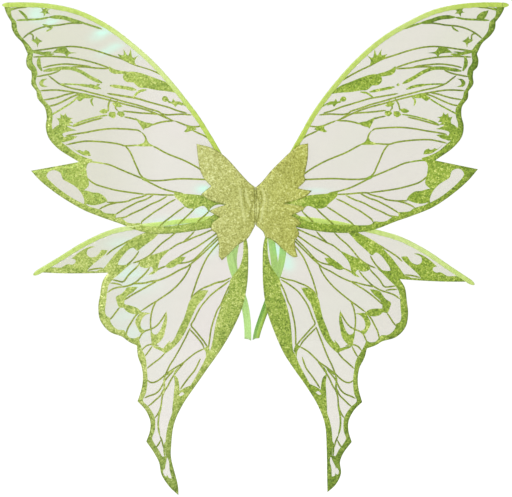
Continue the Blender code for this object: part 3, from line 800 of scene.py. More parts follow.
FLAKE_STOPS = (0.12, 0.42, 0.66, 0.92)
FLAKE_TILT = 0.4
# Where the glitter gets a painted sheen towards the left, with less of it high up, and where it turns a
# little paler at the tails, in metres.
SHEEN_ACROSS = (0.10, -0.16)
SHEEN_DOWN = (0.04, -0.18)
PALER_TAILS = (-0.04, -0.30)
# Painted shade: how far from the root, in metres, the glitter starts and stops darkening.
SHADED_TIPS = (0.315, 0.41)


def glitter(name, base_shades, pale_shades, flake=1.7, metallic=0.3, creased=False, high=0.3, mottle=1.0):
    """Glitter: flat flakes, each with its own shade and tilt, in lighter and darker patches.

    The two lists of colours are four shades each, from darkest to lightest; the second is the paler one.
    It turns paler towards the left, a painted sheen of the light from that side, high up only by the share in
    high, and a little paler at the tails. It is darker far out from the root, a painted shade. With creased,
    it gets painted shade in the fold grooves and a painted highlight on their ridges."""
    made = Shader(name, Metallic=metallic, Roughness=0.4)
    fine, coarse = made.cells(flake), made.cells(flake * 2.1)
    fine_value = made.node("SeparateColor", Color=fine).outputs["Red"]
    coarse_value = made.node("SeparateColor", Color=coarse).outputs["Green"]
    base = made.maths("ADD", 0.245 - 0.355 * mottle, made.maths("MULTIPLY", fine_value, 0.50))
    base = made.maths("MULTIPLY_ADD", coarse_value, 0.26 * mottle, base)
    level = made.maths("MULTIPLY_ADD", made.noise(45, 1.0), 0.45 * mottle, base)
    # Painted sheen of the light from the left: paler towards the left, less so high up, and a little paler at
    # the tails.
    down = made.between(made.place("Z"), *SHEEN_DOWN, base=high)
    paling = made.maths("MULTIPLY", made.between(made.place("X"), *SHEEN_ACROSS), down)
    paling = made.maths("MAXIMUM", paling, made.between(made.place("Z"), *PALER_TAILS, top=0.12))
    shades = [made.ramp(level, list(zip(FLAKE_STOPS, colours))) for colours in (base_shades, pale_shades)]
    colour = made.mix(paling, *shades)
    # Painted shade: the glitter darkens far out from the root.
    away = made.node("VectorMath", operation="LENGTH")
    made.links.new(made.coords, away.inputs[0])
    outer = made.between(away.outputs["Value"], *SHADED_TIPS, top=0.9)
    colour = made.mix(outer, colour, (0.60, 0.68, 0.48), "MULTIPLY")
    # Painted shade in the cover's fold grooves and a painted highlight on their ridges.
    if creased:
        fold_shading = made.attribute("fold_shading")
        colour = made.mix(made.maths("MULTIPLY", fold_shading, -1.0), colour, base_shades[0])
        colour = made.mix(made.maths("MAXIMUM", fold_shading, 0.0), colour, pale_shades[2])
    lean = made.node("VectorMath", operation="MULTIPLY_ADD")
    made.links.new(fine, lean.inputs[0])
    lean.inputs[1].default_value = (FLAKE_TILT,) * 3
    lean.inputs[2].default_value = (-FLAKE_TILT / 2,) * 3
    facing = made.node("VectorMath", operation="ADD")
    made.links.new(made.node("NewGeometry").outputs["Normal"], facing.inputs[0])
    made.links.new(lean.outputs[0], facing.inputs[1])
    turned = made.node("VectorMath", operation="NORMALIZE")
    made.links.new(facing.outputs[0], turned.inputs[0])
    made.feed(Base_Color=colour, Normal=turned.outputs[0])
    return made.material


def film_material(name, behind=None):
    """Clear film: a faint warm grey sheen that drifts across it, lighter in painted glossy streaks, greener
    away from the middle, with a painted reflection of the lime binding near the outer leading edge and
    patches of painted iridescent sheen in mint. It takes up the colour of what lies close behind it."""
    made = Shader(name, Roughness=0.16, IOR=1.5, Alpha=0.29)
    turned = made.node("Mapping", Vector=made.coords)
    turned.inputs["Rotation"].default_value = (0, 0.2, 0)
    turned.inputs["Scale"].default_value = (1, 1, 5.0)
    sheen_streaks = made.node("TexNoise", Vector=turned.outputs[0], Scale=1 / (90 * MM), Detail=4.0).outputs["Fac"]
    drift = [(0.30, (0.46, 0.46, 0.34)), (0.50, (0.48, 0.445, 0.34)), (0.70, (0.51, 0.44, 0.39))]
    tint = made.ramp(made.noise(120, 2.0, 0.5), drift)
    # Painted glossy streaks: the film is lighter along the stretched noise.
    tint = made.mix(made.maths("MULTIPLY", sheen_streaks, 0.4), tint, (0.66, 0.62, 0.50))
    right = made.between(made.place("X"), 0.02, 0.13, top=0.25)
    left = made.between(made.place("X"), -0.15, -0.24, top=0.6)
    tint = made.mix(made.maths("MAXIMUM", right, left), tint, (0.32, 0.335, 0.10))
    # Painted reflection of the lime binding, near the outer leading edge.
    tint = made.mix(made.attribute("lime_reflection"), tint, (0.36, 0.42, 0.10))
    # Painted iridescent sheen: mint patches, broken up by the streaks.
    patches = made.maths("MULTIPLY_ADD", sheen_streaks, 3.0, -0.6)
    mint = made.maths("MULTIPLY", made.attribute("mint"), patches)
    mint = made.maths("MAXIMUM", made.maths("MINIMUM", mint, 1.0), 0.0)
    tint = made.mix(mint, tint, (0.30, 0.84, 0.60))
    creases = made.noise(14, 2.0)
    if behind is not None:
        tint = made.mix(made.maths("MULTIPLY_ADD", creases, 0.5, 0.55), tint, behind)
    made.feed(Base_Color=tint, Normal=made.bump(creases, 0.25, 0.25))
    made.surface.inputs["Thin Film Thickness"].default_value = 420.0
    made.surface.inputs["Thin Film IOR"].default_value = 1.45
    return made.material


# Along X, from the left wing's tip at 0 to the right one's at 1: how much painted sheen the satin gets where
#  it catches the light, and how deep the upper bindings are in colour.
SATIN_SHEEN = [
    (0.05, 0.0), (0.18, 0.0), (0.26, 0.30), (0.32, 0.26), (0.38, 0.0), (0.72, 0.04), (0.82, 0.20),
    (0.93, 0.0),
]
SATIN_DEEP = [
    (0.04, 0.5), (0.12, 0.25), (0.34, 0.2), (0.42, 0.8), (0.58, 1.0), (0.64, 0.55), (0.80, 0.40),
    (0.92, 0.75),
]


def satin(name, colour, highlight, paler, deeper):
    """Satin ribbon: a fine weave, a soft sheen and small puckers, with brighter stretches of painted sheen
    and deeper stretches.
    """
    made = Shader(name, Roughness=0.34)
    weave = made.node("TexWave", Vector=made.coords, Scale=900.0, Distortion=1.5, bands_direction="DIAGONAL")
    weave = weave.outputs["Fac"]
    puckers = made.noise(5, 3.0)
    tone = made.maths("MULTIPLY_ADD", weave, 0.25, made.maths("MULTIPLY", puckers, 0.75))
    height = made.maths("MULTIPLY_ADD", weave, 0.15, puckers)
    across = made.maths("MULTIPLY_ADD", made.place("X"), 1.25, 0.5)
    bright = made.ramp(across, [(x, (share,) * 3) for x, share in SATIN_SHEEN])
    deep = made.ramp(across, [(x, (share,) * 3) for x, share in SATIN_DEEP])
    # Painted sheen: paler where the satin catches the light, by the share along X.
    tint = made.mix(bright, made.ramp(tone, [(0.2, colour), (0.75, highlight)]), paler)
    upper = made.between(made.place("Z"), -0.01, 0.06)
    tint = made.mix(made.maths("MULTIPLY", deep, upper), tint, deeper, "MULTIPLY")
    made.feed(Base_Color=tint, Normal=made.bump(height, 0.35, 0.6))
    made.surface.inputs["Sheen Weight"].default_value = 0.25
    made.surface.inputs["Anisotropic"].default_value = 0.4
    return made.material


def felt(name, colour, shade):
    made = Shader(name, Roughness=0.9)
    fibres = made.noise(1.2, 5.0, 0.7)
    made.feed(Base_Color=made.ramp(fibres, [(0.3, shade), (0.7, colour)]), Normal=made.bump(fibres, 0.3, 0.7))
    made.surface.inputs["Sheen Weight"].default_value = 0.3
    return made.material


RIBS_ACROSS = 9
WEFT_PITCH = 0.0011


def elastic():
    """Flat woven elastic, with ribs along it and a fine cross weave. U runs across the strap and V along it,
    in metres. The low end of the right strap has painted shade, darker on one edge and olive towards the
    other, and the left strap is paler."""
    made = Shader("woven_elastic", Roughness=0.62)
    place = made.node("SeparateXYZ", Vector=made.node("UVMap").outputs["UV"]).outputs
    ribs = made.maths("SINE", made.maths("MULTIPLY", place["X"], 2 * math.pi * RIBS_ACROSS))
    weft = made.maths("SINE", made.maths("MULTIPLY", place["Y"], 2 * math.pi / WEFT_PITCH))
    height = made.maths("MULTIPLY_ADD", weft, 0.35, ribs)
    tone = made.maths("MULTIPLY_ADD", height, 0.22, made.noise(1.5, 4.0))
    stops = (0.15, 0.5, 0.85)
    right = made.ramp(tone, list(zip(stops, [(0.20, 0.40, 0.06), (0.35, 0.62, 0.10), (0.54, 0.78, 0.22)])))
    left = made.ramp(tone, list(zip(stops, [(0.28, 0.50, 0.12), (0.49, 0.78, 0.24), (0.68, 0.92, 0.42)])))
    # Painted shade across the right strap's low end: darker at one edge, olive towards the other.
    edges = made.ramp(place["X"], [
        (0.0, (0.36, 0.56, 0.40)), (0.30, (0.62, 0.80, 0.60)), (0.42, (1.0, 1.0, 1.0)),
        (0.56, (1.0, 1.0, 1.0)), (0.72, (1.0, 0.90, 0.60)), (1.0, (1.0, 0.88, 0.55)),
    ])
    right = made.mix(made.between(made.place("Z"), -0.12, -0.17), right, edges, "MULTIPLY")
    colour = made.mix(made.between(made.place("X"), 0.002, -0.008), right, left)
    made.feed(Base_Color=colour, Normal=made.bump(height, 0.15, 0.7))
    made.surface.inputs["Sheen Weight"].default_value = 0.2
    return made.material


def metal(name, colour, roughness):
    made = Shader(name, Metallic=1.0)
    drawn = made.noise(3, 4.0)
    darker = tuple(c * 0.8 for c in colour)
    made.feed(
        Base_Color=made.ramp(drawn, [(0.3, darker), (0.7, colour)]),
        Roughness=made.maths("MULTIPLY_ADD", drawn, 0.2, roughness),
        Normal=made.bump(drawn, 0.05, 0.4),
    )
    return made.material


FILM = film_material("iridescent_film")
FILM_OVER_BINDING = film_material("film_over_binding", (0.66, 0.88, 0.16))
FILM_OVER_STRAP = film_material("film_over_strap", (0.48, 0.74, 0.22))
PRINT = glitter(
    "printed_glitter",
    base_shades=[(0.09, 0.15, 0.006), (0.205, 0.33, 0.018), (0.34, 0.46, 0.045), (0.70, 0.78, 0.22)],
    pale_shades=[(0.17, 0.26, 0.03), (0.39, 0.49, 0.10), (0.57, 0.64, 0.20), (0.86, 0.90, 0.46)],
    high=0.42,
)
VEIN = glitter(
    "printed_vein",
    base_shades=[(0.09, 0.13, 0.004), (0.19, 0.26, 0.014), (0.29, 0.37, 0.03), (0.48, 0.56, 0.12)],
    pale_shades=[(0.11, 0.15, 0.008), (0.22, 0.28, 0.025), (0.33, 0.39, 0.05), (0.52, 0.59, 0.17)],
    flake=1.3, metallic=0.1,
)
COVER = glitter(
    "gold_green_glitter",
    base_shades=[(0.18, 0.19, 0.014), (0.34, 0.355, 0.045), (0.49, 0.52, 0.10), (0.82, 0.86, 0.36)],
    pale_shades=[(0.27, 0.28, 0.06), (0.46, 0.48, 0.16), (0.65, 0.69, 0.29), (0.94, 0.97, 0.62)],
    creased=True, high=1.0, mottle=0.6,
)
SATIN = satin(
    "lime_satin", colour=(0.36, 0.52, 0.06), highlight=(0.60, 0.74, 0.22), paler=(0.84, 0.92, 0.62),
    deeper=(0.86, 0.88, 0.34),
)
THREAD = satin(
    "lime_thread", colour=(0.30, 0.44, 0.06), highlight=(0.48, 0.62, 0.18), paler=(0.60, 0.70, 0.36),
    deeper=(0.72, 0.78, 0.36),
)
LINING_FELT = felt("green_felt", (0.30, 0.42, 0.10), (0.18, 0.28, 0.05))
PAD = felt("pad_fabric", (0.22, 0.40, 0.08), (0.13, 0.26, 0.04))
ELASTIC = elastic()
WIRE = metal("drawn_wire", (0.62, 0.62, 0.64), 0.25)
CLAMP = metal("pressed_clamp", (0.70, 0.70, 0.72), 0.35)

# ------------------------------------------------------------------------------ camera, light and floor

# The world's light on the object, and how bright it is where the camera sees it.
AMBIENT, WHITE = 0.56, 1.02
# Each lamp's place, size and power.
LIGHTS = (
    ("key", (-1.6, -2.5, 1.95), 1.1, 70.0),
    ("fill", (1.5, -2.2, 0.1), 1.4, 8.0),
    ("back", (0.4, 2.0, 1.8), 1.2, 20.0),
)
CAMERA_DISTANCE = 4.0
CAMERA_X, CAMERA_Z = 0.0008, -0.0671
FLOOR_DROP = 0.012
SEEN_WIDTH = 0.808
SENSOR = 36.0


def place_camera():
    data = bpy.data.cameras.new("camera")
    data.sensor_width = SENSOR
    data.lens = SENSOR * CAMERA_DISTANCE / SEEN_WIDTH
    camera = bpy.data.objects.new("camera", data)
    bpy.context.scene.collection.objects.link(camera)
    camera.location = (CAMERA_X, UPPER_Y * MM - CAMERA_DISTANCE, CAMERA_Z)
    camera.rotation_euler = (math.radians(90), 0, 0)
    bpy.context.scene.camera = camera
    bpy.context.scene.view_settings.view_transform = "Standard"


def light_studio():
    world = bpy.data.worlds.new("studio")
    bpy.context.scene.world = world
    world.use_nodes = True
    nodes, links = world.node_tree.nodes, world.node_tree.links
    background = nodes["Background"]
    background.inputs["Color"].default_value = (1, 1, 1, 1)
    seen = nodes.new("ShaderNodeMath")
    seen.operation = "MULTIPLY_ADD"
    links.new(nodes.new("ShaderNodeLightPath").outputs["Is Camera Ray"], seen.inputs[0])
    seen.inputs[1].default_value = WHITE - AMBIENT
    seen.inputs[2].default_value = AMBIENT
    links.new(seen.outputs[0], background.inputs["Strength"])
    for name, place, size, power in LIGHTS:
        light = bpy.data.lights.new(name, "AREA")
        light.energy = power
        light.size = size
        lamp = bpy.data.objects.new(name, light)
        bpy.context.scene.collection.objects.link(lamp)
        lamp.location = place
        towards = Vector((0, 0, -0.05)) - Vector(place)
        lamp.rotation_euler = towards.to_track_quat("-Z", "Y").to_euler()


def lay_floor():
    """A pale floor that sends little light up through the films."""
    bpy.ops.mesh.primitive_plane_add(size=14, location=(0, 0, cad_box[0].z - FLOOR_DROP))
    floor = bpy.context.object
    floor.name = "floor"
    pale = Shader("pale_floor", Roughness=0.8)
    seen = pale.node("LightPath").outputs["Is Camera Ray"]
    grain = pale.ramp(pale.noise(400, 2.0), [(0.3, (0.84, 0.84, 0.84)), (0.7, (0.88, 0.88, 0.88))])
    pale.feed(
        Base_Color=pale.mix(seen, grain, (0.08, 0.08, 0.08)),
        Emission_Color=(1, 1, 1, 1), Emission_Strength=pale.maths("MULTIPLY", seen, 0.97),
    )
    floor.data.materials.append(pale.material)


# ------------------------------------------------------------------------------ the films


def ripple(x, z, edge_distance):
    """How far the film stands off its plane: folds that fan out from the root, and soft billows."""
    reach, angle = np.hypot(x, z), np.arctan2(z, x)
    fan = np.sin(angle * 17 + reach / 90) * ease((reach - 60) / 180)
    billow = np.sin(x / 41 + z / 57 + 0.6) + 0.6 * np.sin(z / 29 - x / 63 + 2.0)
    return (0.9 * fan + 0.8 * billow) * ease(edge_distance / 40)


def tail_curl(z):
    """The tail's last stretch curls towards the viewer."""
    return -7.0 * ease((-z - 392) / 62)


def seen_through(prefix, suffix):
    """The lines of what shows through a wing's film, with their widths: the lower wing's binding, or the legs
    of the strap."""
    if prefix == "upper":
        line = leading_line("lower", suffix, 6.0)
        return [(inward(line[line[:, 0] < 205], BINDING_WIDTH / 2), BINDING_WIDTH)]
    legs = [[(abs(x), z) for x, y, z in STRAPS[suffix][first:last]] for first, last in ((3, 11), (16, 23))]
    return [(leg, STRAP_WIDTH) for leg in legs]


def film(prefix, suffix):
    """One wing: clear film with its printed pattern, held in the binding's fold along the leading edge."""
    side, wing, place = SIDES[suffix], WINGS[prefix], FILM_PLACES[prefix, suffix]
    printed, own = wing["print"], wing["own_print"].get(suffix, NO_PRINT)
    line = leading_line(prefix, suffix, 6.0)
    held = inward(line, FILM_INSET)
    boundary = list(held) + [place(p) for p in outline(wing["free_edge"], 4.0)]

    def placed(loops):
        move = lifted_print if place is lifted else place
        return [[move(p) for p in loop] for loop in loops]

    def stroked(groups):
        return placed(stroke(line, width) for width, lines in groups.items() for line in lines)

    clear = [place(p) for p in closed_outline(printed["clear"], 4.0)]
    holes = placed(closed_outline(loop, 2.5) for loop in printed["holes"])
    filled = placed(closed_outline(loop, 2.5) for loop in [*printed["blobs"], *own["blobs"]])
    filled += stroked(printed["strokes"]) + stroked(own["strokes"])
    veins = stroked(printed["veins"])
    behind = [stroke(line, width) for line, width in seen_through(prefix, suffix)]

    points, faces = plane_mesh(boundary, [clear, *holes, *filled, *veins, *behind], FILM_GRID)
    middles = points[faces].mean(axis=1)
    glittered = (~inside(middles, clear) | any_inside(middles, filled)) & ~any_inside(middles, holes)
    material = np.where(glittered, 1, np.where(any_inside(middles, veins), 2, 0))
    material = np.where(any_inside(middles, behind) & (material == 0), 3, material)

    x, z = points[:, 0], points[:, 1]
    y = wing["y"] + ripple(x * side, z, distance_to(points, held))
    if prefix == "lower":
        y = y + tail_curl(z)
    solid = np.stack([x * side, y, z], axis=1)
    if side < 0:
        faces = faces[:, ::-1]
    # Painted iridescent sheen in mint patches.
    mint = np.zeros(len(points))
    for mid_x, mid_z, half_x, half_z, slope, strength in MINT_SHEEN[suffix]:
        off = z - mid_z - slope * (x - mid_x)
        mint = np.maximum(mint, strength * np.exp(-(((x - mid_x) / half_x) ** 2) - (off / half_z) ** 2))
    # Painted reflection of the lime binding on the film, near the outer leading edge.
    lime_reflection = ease((x - 150) / 230) * ease(1 - distance_to(points, line) / 60) * 0.35
    over = FILM_OVER_BINDING if prefix == "upper" else FILM_OVER_STRAP
    piece = new_object(
        f"{prefix}_wing_{suffix}", solid, faces, [FILM, PRINT, VEIN, over], material,
        {"mint": mint, "lime_reflection": lime_reflection},
    )
    piece.visible_shadow = False
    thick = piece.modifiers.new("film_thickness", "SOLIDIFY")
    thick.thickness = FILM_THICKNESS * MM
    thick.offset = 0
    into_frame(piece, f"{suffix}_wing", f"{prefix}_film_{suffix}")


# ------------------------------------------------------------------------------ swept pieces


def leading_line(prefix, suffix, spacing):
    """The leading edge from where its binding comes out from under the cover to where the tip cap starts."""
    place = EDGE_PLACES[prefix, suffix]
    line = [place(p) for p in smooth_run(WINGS[prefix]["leading"], spacing)]
    left = CAP_LENGTH[prefix]
    while np.linalg.norm(line[-1] - line[-2]) <= left:
        left -= np.linalg.norm(line[-1] - line[-2])
        line.pop()
    line[-1] = line[-1] + (line[-2] - line[-1]) / np.linalg.norm(line[-2] - line[-1]) * left
    start = next(i for i, p in enumerate(line) if math.hypot(*p) > BINDING_START[prefix])
    return np.array(line[start:])


def skin(rings):
    """Points and faces of a closed surface through rings of equally many points."""
    count = len(rings[0])
    points = np.concatenate(rings)
    faces = []
    for row in range(len(rings) - 1):
        first, second = row * count, (row + 1) * count
        for i in range(count):
            j = (i + 1) % count
            faces.append((first + i, first + j, second + j, second + i))
    ends = [tuple(range(count))[::-1], tuple(range(len(points) - count, len(points)))]
    return points, faces + ends


def binding_section(scale=1.0, pucker=0.0):
    """(inward, back) points round the folded ribbon: full over the wire, then a flange down to its hem."""
    arc = [math.radians(a) for a in range(75, 286, 30)]
    bulge = BINDING_BULGE * (1 + 0.07 * pucker)
    outer = [(bulge * math.cos(a), bulge * math.sin(a)) for a in arc]
    end = BINDING_WIDTH - BINDING_BULGE + 0.35 * pucker
    half = FLANGE * (1 - 0.18 * pucker)
    back = [(end - 0.5, half + 0.12), (end - 1.5, half), (end - 2.4, half + 0.1), (1.7, half + 0.3)]
    front = [(u, -v) for u, v in reversed(back)]
    middle = BINDING_WIDTH / 2 - BINDING_BULGE
    section = [(end, 0.45), *back, *outer, *front, (end, -0.45)]
    return [(middle + (u - middle) * scale, v * scale) for u, v in section]


def ring_on(point, normal, y, section, side):
    """A section's points, standing on a point of the plane across the way the line runs."""
    x, z = point
    return np.array([(side * (x + u * normal[0]), y + v, z + u * normal[1]) for u, v in section])


PUCKER_PHASE = {"upper": 1.3, "lower": 0.4}
# Along the cap at the binding's tip: how far, and the size of its section there.
CAP_STEPS = [
    (0.02, 1.03), (0.06, 1.06), (0.12, 1.0), (0.3, 0.97), (0.5, 0.88), (0.68, 0.74), (0.83, 0.55),
    (0.94, 0.35), (1.0, 0.12),
]


def binding(prefix, suffix):
    """The satin ribbon folded over the wire and the film's edge, with its stitches and the cap at the tip."""
    side, y = SIDES[suffix], WINGS[prefix]["y"]
    line = leading_line(prefix, suffix, 3.0)
    reach = distance_along(line)
    puckers = 0.6 * np.sin(reach / 1.9 + PUCKER_PHASE[prefix]) + 0.4 * np.sin(reach / 3.7 + 2.1 * side)
    rings = [
        ring_on(p + n * BINDING_BULGE, n, y, binding_section(pucker=w), side)
        for p, n, w in zip(line, right_normals(line), puckers)
    ]
    sleeve = outward_faces(new_object(f"{prefix}_hem_{suffix}", *skin(rings), [SATIN]))
    into_frame(sleeve, f"{suffix}_wing", f"{prefix}_binding_{suffix}")

    along = (line[-1] - line[-2]) / np.linalg.norm(line[-1] - line[-2])
    normal = np.array([along[1], -along[0]])
    start = line[-1] + normal * BINDING_BULGE
    rings = [
        ring_on(start + along * CAP_LENGTH[prefix] * t, normal, y, binding_section(scale), side)
        for t, scale in CAP_STEPS
    ]
    cap = outward_faces(new_object(f"{prefix}_tip_{suffix}", *skin(rings), [SATIN]))
    into_frame(cap, f"{suffix}_wing", f"{prefix}_tip_cap_{suffix}")
    row = inward(line, BINDING_WIDTH - 2.0)
    stitches(f"{prefix}_stitches_{suffix}", row, side, [y - FLANGE, y + FLANGE], f"{suffix}_wing")


STITCH_THICKNESS = 0.45
# Along a stitch: how far, and how thick it is there.
STITCH_SHAPE = ((0, 0.3), (0.18, 0.9), (0.5, 1.1), (0.82, 0.9), (1, 0.3))


def stitches(name, line, side, levels, body, length=2.1, pitch=3.3):
    """A row of sewn stitches along a line in the plane, on each of these levels of Y."""
    reach = distance_along(line)
    radius = STITCH_THICKNESS / 2
    points, faces = [], []
    for start in np.arange(pitch / 2, reach[-1] - pitch, pitch):
        ends = [np.array([np.interp(start + d, reach, line[:, k]) for k in (0, 1)]) for d in (0, length)]
        along = (ends[1] - ends[0]) / length
        across = np.array([along[1], -along[0]]) * STITCH_THICKNESS / 2
        for y in levels:
            rings = []
            for share, size in STITCH_SHAPE:
                x, z = ends[0] + (ends[1] - ends[0]) * share
                rings.append(np.array([
                    (side * (x + a * across[0] * size), y + b * radius * size, z + a * across[1] * size)
                    for a, b in ((1, 0), (0, 1), (-1, 0), (0, -1))
                ]))
            piece_points, piece_faces = skin(rings)
            faces += [tuple(i + len(points) for i in face) for face in piece_faces]
            points += list(piece_points)
    into_frame(outward_faces(new_object(name, points, faces, [THREAD])), body)


# The elastic's section: how far across it, from -1 to 1, and how far through it.
STRAP_SECTION = [
    (-1, 0.15), (-0.96, 0.5), (-0.55, 0.5), (-0.08, 0.42), (0, 0.12), (0.08, 0.42), (0.55, 0.5), (0.96, 0.5),
    (1, 0.15), (1, -0.15), (0.96, -0.5), (0.5, -0.5), (0, -0.5), (-0.5, -0.5), (-0.96, -0.5), (-1, -0.15),
]


def strap(suffix):
    """A shoulder loop of fold-over elastic, creased down its middle and sewn to the yoke at both ends."""
    middle = np.array(smooth_run(STRAPS[suffix], 4.0))
    tangents = np.gradient(middle, axis=0)
    tangents /= np.linalg.norm(tangents, axis=1)[:, None]
    reach = distance_along(middle)
    rings = []
    for point, along, far in zip(middle, tangents, reach / reach[-1]):
        flat = np.array([1.0, 0, 0]) - along * along[0]
        flat /= np.linalg.norm(flat)
        back = np.cross(flat, along)
        twist = STRAP_TWIST * math.sin(math.pi * far) * SIDES[suffix]
        across = flat * math.cos(twist) + back * math.sin(twist)
        out = back * math.cos(twist) - flat * math.sin(twist)
        rings.append(np.array([
            point + across * u * STRAP_WIDTH / 2 - out * (v * STRAP_THICKNESS + STRAP_CUP * (abs(u) - 0.5))
            for u, v in STRAP_SECTION
        ]))
    piece = new_object(f"shoulder_strap_{suffix}", *skin(rings), [ELASTIC])
    layer = piece.data.uv_layers.new(name="UVMap")
    for loop in piece.data.loops:
        row, column = divmod(loop.vertex_index, len(STRAP_SECTION))
        layer.data[loop.index].uv = ((STRAP_SECTION[column][0] + 1) / 2, reach[row] * MM)
    outward_faces(piece)
    into_frame(piece, "back", f"strap_{suffix}")


# ------------------------------------------------------------------------------ fabric pieces


def fabric(boundary, front, back, grid, relief, rounding=0.7):
    """Points and faces of a closed piece of fabric between two levels of Y, with rounded edges. relief gives
    each point's rise at the front and the back, towards -Y, from its place and its distance from the edge."""
    points, faces = plane_mesh(boundary, [], grid)
    edge = distance_to(points, boundary)
    half, middle = (back - front) / 2, (front + back) / 2
    roll = np.sqrt(1 - (1 - np.clip(edge / rounding, 0, 1)) ** 2)
    rise_front, rise_back = relief(points, edge)
    levels = (middle - half * roll - rise_front, middle + half * roll - rise_back)
    solid = np.concatenate([np.stack([points[:, 0], y, points[:, 1]], axis=1) for y in levels])
    numbers = np.arange(len(points))
    twin = np.where(edge < 1e-3, numbers, numbers + len(points))
    return solid, np.concatenate([faces, twin[faces][:, ::-1]])



def folds(place, suffix):
    """How far the folds sewn into a cover stand up at each point."""
    rise = np.zeros(len(place))
    for line, width, height in COVER_FOLDS[suffix]:
        away = distance_to_line(place, smooth_run(line, 2.0))
        rise += height * np.exp(-((away / (width / 2)) ** 2))
    return rise


def cover(suffix):
    """The front cover: glitter felt that crowns over the clamp, its points lifting off the film. It rises no
    higher than leaves room for the two halves to fold together."""
    loop = closed_outline(COVERS[suffix], 3.0)

    def relief(place, edge):
        x, z = place[:, 0], place[:, 1]
        free = distance_to_line(place, loop[1:])
        at_seam = (edge < 1e-3) & (x < 1.5) & (abs(z) < 29)
        crown = 2.0 * ease(edge / 26) + 0.35 * ease(free / 2.5)
        lift = 2.2 * ease((np.hypot(x, z * 0.8) - 38) / 50)
        wave = 0.45 * np.sin(x / 6.5 + z / 17) * ease(edge / 6)
        room = 0.15 + 0.032 * np.maximum(x - 1, 0)
        rise = np.minimum(crown + lift + wave + folds(place, suffix) * ease(free / 1.5), room)
        under = np.minimum(lift + 0.3 * crown, 0.8 * rise + 0.1)
        half = (COVER_BACK - COVER_FRONT) / 2
        return np.where(at_seam, half, rise), np.where(at_seam, half, under)

    solid, faces = fabric(loop, COVER_FRONT, COVER_BACK, 1.9, relief)
    # Painted shade in the folds' grooves and painted highlight on their ridges, kept as a value on each
    # point.
    shade = np.clip(folds(solid[:, [0, 2]], suffix) / 1.1, -0.9, 0.6)
    solid[:, 0] *= SIDES[suffix]
    piece = new_object(f"front_cover_{suffix}", solid, faces, [COVER], values={"fold_shading": shade})
    outward_faces(piece)
    piece.visible_shadow = False
    into_frame(piece, f"{suffix}_wing", f"cover_front_{suffix}")


def lining(suffix):
    """The felt behind the cover, stitched down round its edge."""
    loop = closed_outline(LINING, 4.0)

    def relief(place, edge):
        wave = 0.25 * np.sin(place[:, 0] / 9 + place[:, 1] / 14) * ease(edge / 8)
        groove = -0.3 * np.exp(-(((edge - 3.2) / 1.0) ** 2))
        return wave + groove, wave - groove

    solid, faces = fabric(loop, LINING_FRONT, LINING_BACK, 3.2, relief, 0.5)
    solid[:, 0] *= SIDES[suffix]
    piece = outward_faces(new_object(f"lining_{suffix}", solid, faces, [LINING_FELT]))
    piece.visible_shadow = False
    into_frame(piece, f"{suffix}_wing", f"cover_lining_{suffix}")
    hem = np.array([*loop, loop[0]])
    turn = np.sign(np.sum(hem[:-1, 0] * hem[1:, 1] - hem[1:, 0] * hem[:-1, 1]))
    row = hem - right_normals(hem) * 3.2 * turn
    levels = [LINING_BACK + 0.05]
    stitches(f"lining_stitches_{suffix}", row, SIDES[suffix], levels, f"{suffix}_wing", 2.6, 4.2)


def rounded_box(node, corner):
    """A CAD node's outline in the plane, as a box with round corners."""
    low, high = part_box(node)
    x, z = (high.x - low.x) / 2 / MM - corner, (high.z - low.z) / 2 / MM - corner
    loop = []
    for quarter, (sx, sz) in enumerate(((1, 1), (-1, 1), (-1, -1), (1, -1))):
        for turn in range(0, 91, 15):
            angle = math.radians(turn) + quarter * math.pi / 2
            loop.append(np.array([x * sx + corner * math.cos(angle), z * sz + corner * math.sin(angle)]))
    return loop


def yoke():
    """The panel that carries the straps, stitched to the pad round its edge."""
    low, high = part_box("strap_yoke")
    loop = rounded_box("strap_yoke", 6.0)

    def relief(place, edge):
        groove = -0.25 * np.exp(-(((edge - 2.6) / 0.8) ** 2))
        return groove, -groove

    solid, faces = fabric(loop, low.y / MM, high.y / MM, 2.6, relief, 0.4)
    piece = outward_faces(new_object("yoke_panel", solid, faces, [LINING_FELT]))
    into_frame(piece, "back", "strap_yoke")
    hem = np.array([*loop, loop[0]])
    row = hem + right_normals(hem) * -2.6
    stitches("yoke_stitches", row, 1, [high.y / MM + 0.05], "back", 2.6, 4.2)


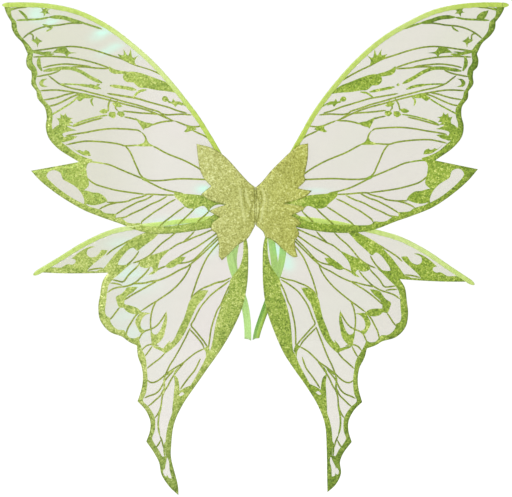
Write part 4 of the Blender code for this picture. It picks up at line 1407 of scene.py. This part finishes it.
def pad():
    """The soft pad on the wearer's back, with two sewn channels and a piped edge."""
    low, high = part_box("back_pad")
    loop = rounded_box("back_pad", 7.0)
    depth = (high.y - low.y) / MM

    def relief(place, edge):
        x, z = place[:, 0], place[:, 1]
        channels = sum(np.exp(-(((z - row) / 1.3) ** 2)) for row in (-9, 9))
        piping = np.exp(-(((edge - 2.4) / 0.9) ** 2))
        sink = 0.55 * depth * (1 - ease(edge / 7)) + 1.2 * channels * ease(edge / 5) + 0.5 * piping
        return np.zeros(len(x)), np.minimum(sink, depth * 0.8)

    solid, faces = fabric(loop, low.y / MM, high.y / MM, 1.7, relief, 0.8)
    piece = outward_faces(new_object("soft_pad", solid, faces, [PAD]))
    into_frame(piece, "back", "back_pad")


def welt():
    """The rolled edge of the seam between the two covers. It stays with the back while the halves fold."""
    low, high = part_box("seam_web")
    width = (high.x - low.x) / MM * 0.62
    heights = np.linspace(low.z / MM - 1, high.z / MM + 1, 31)
    front, back = low.y / MM, high.y / MM
    half_section = [(0.5, back), (0.9, front + 2.5), (1.4, front + 0.6), (1.3, front - 0.5)]
    section = [*half_section, (0, front - 0.8), *((-u, v) for u, v in reversed(half_section))]
    rings = []
    for z in heights:
        close = 1 - 0.25 * max(0.0, (abs(z) - 24) / (heights[-1] - 24)) ** 2
        wave = 0.025 * math.sin(z / 3.1)
        rings.append(np.array([(u * width * close + wave, v, z) for u, v in section]))
    piece = outward_faces(new_object("seam_welt", *skin(rings), [COVER]))
    into_frame(piece, "back", "seam_web")


# ------------------------------------------------------------------------------ putting it together

WINGS = {
    "upper": {
        "leading": UPPER_LEADING, "free_edge": UPPER_FREE_EDGE, "print": UPPER_PRINT, "own_print": ONE_SIDE,
        "y": UPPER_Y, "flat": (0.372, 0.360), "area": 0.0765,
    },
    "lower": {
        "leading": LOWER_LEADING, "free_edge": LOWER_FREE_EDGE, "print": LOWER_PRINT, "own_print": {},
        "y": LOWER_Y, "flat": (0.334, 0.436), "area": 0.0576,
    },
}
NO_PRINT = {"blobs": [], "strokes": {}}
COVERS = {"right": COVER_RIGHT, "left": COVER_LEFT}
FILM_PLACES = {
    ("upper", "right"): same, ("upper", "left"): spread, ("lower", "right"): same, ("lower", "left"): lifted,
}
EDGE_PLACES = {**FILM_PLACES, ("upper", "left"): drawn_in}
METALS = {"upper_wire": WIRE, "lower_wire": WIRE, "wire_clamp": CLAMP}

place_camera()
light_studio()
lay_floor()
for suffix in SIDES:
    strap(suffix)
    for prefix in WINGS:
        binding(prefix, suffix)
    for prefix in WINGS:
        film(prefix, suffix)
    cover(suffix)
    lining(suffix)
    for node, material in METALS.items():
        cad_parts[f"{node}_{suffix}"].data.materials[0] = material
yoke()
pad()
welt()
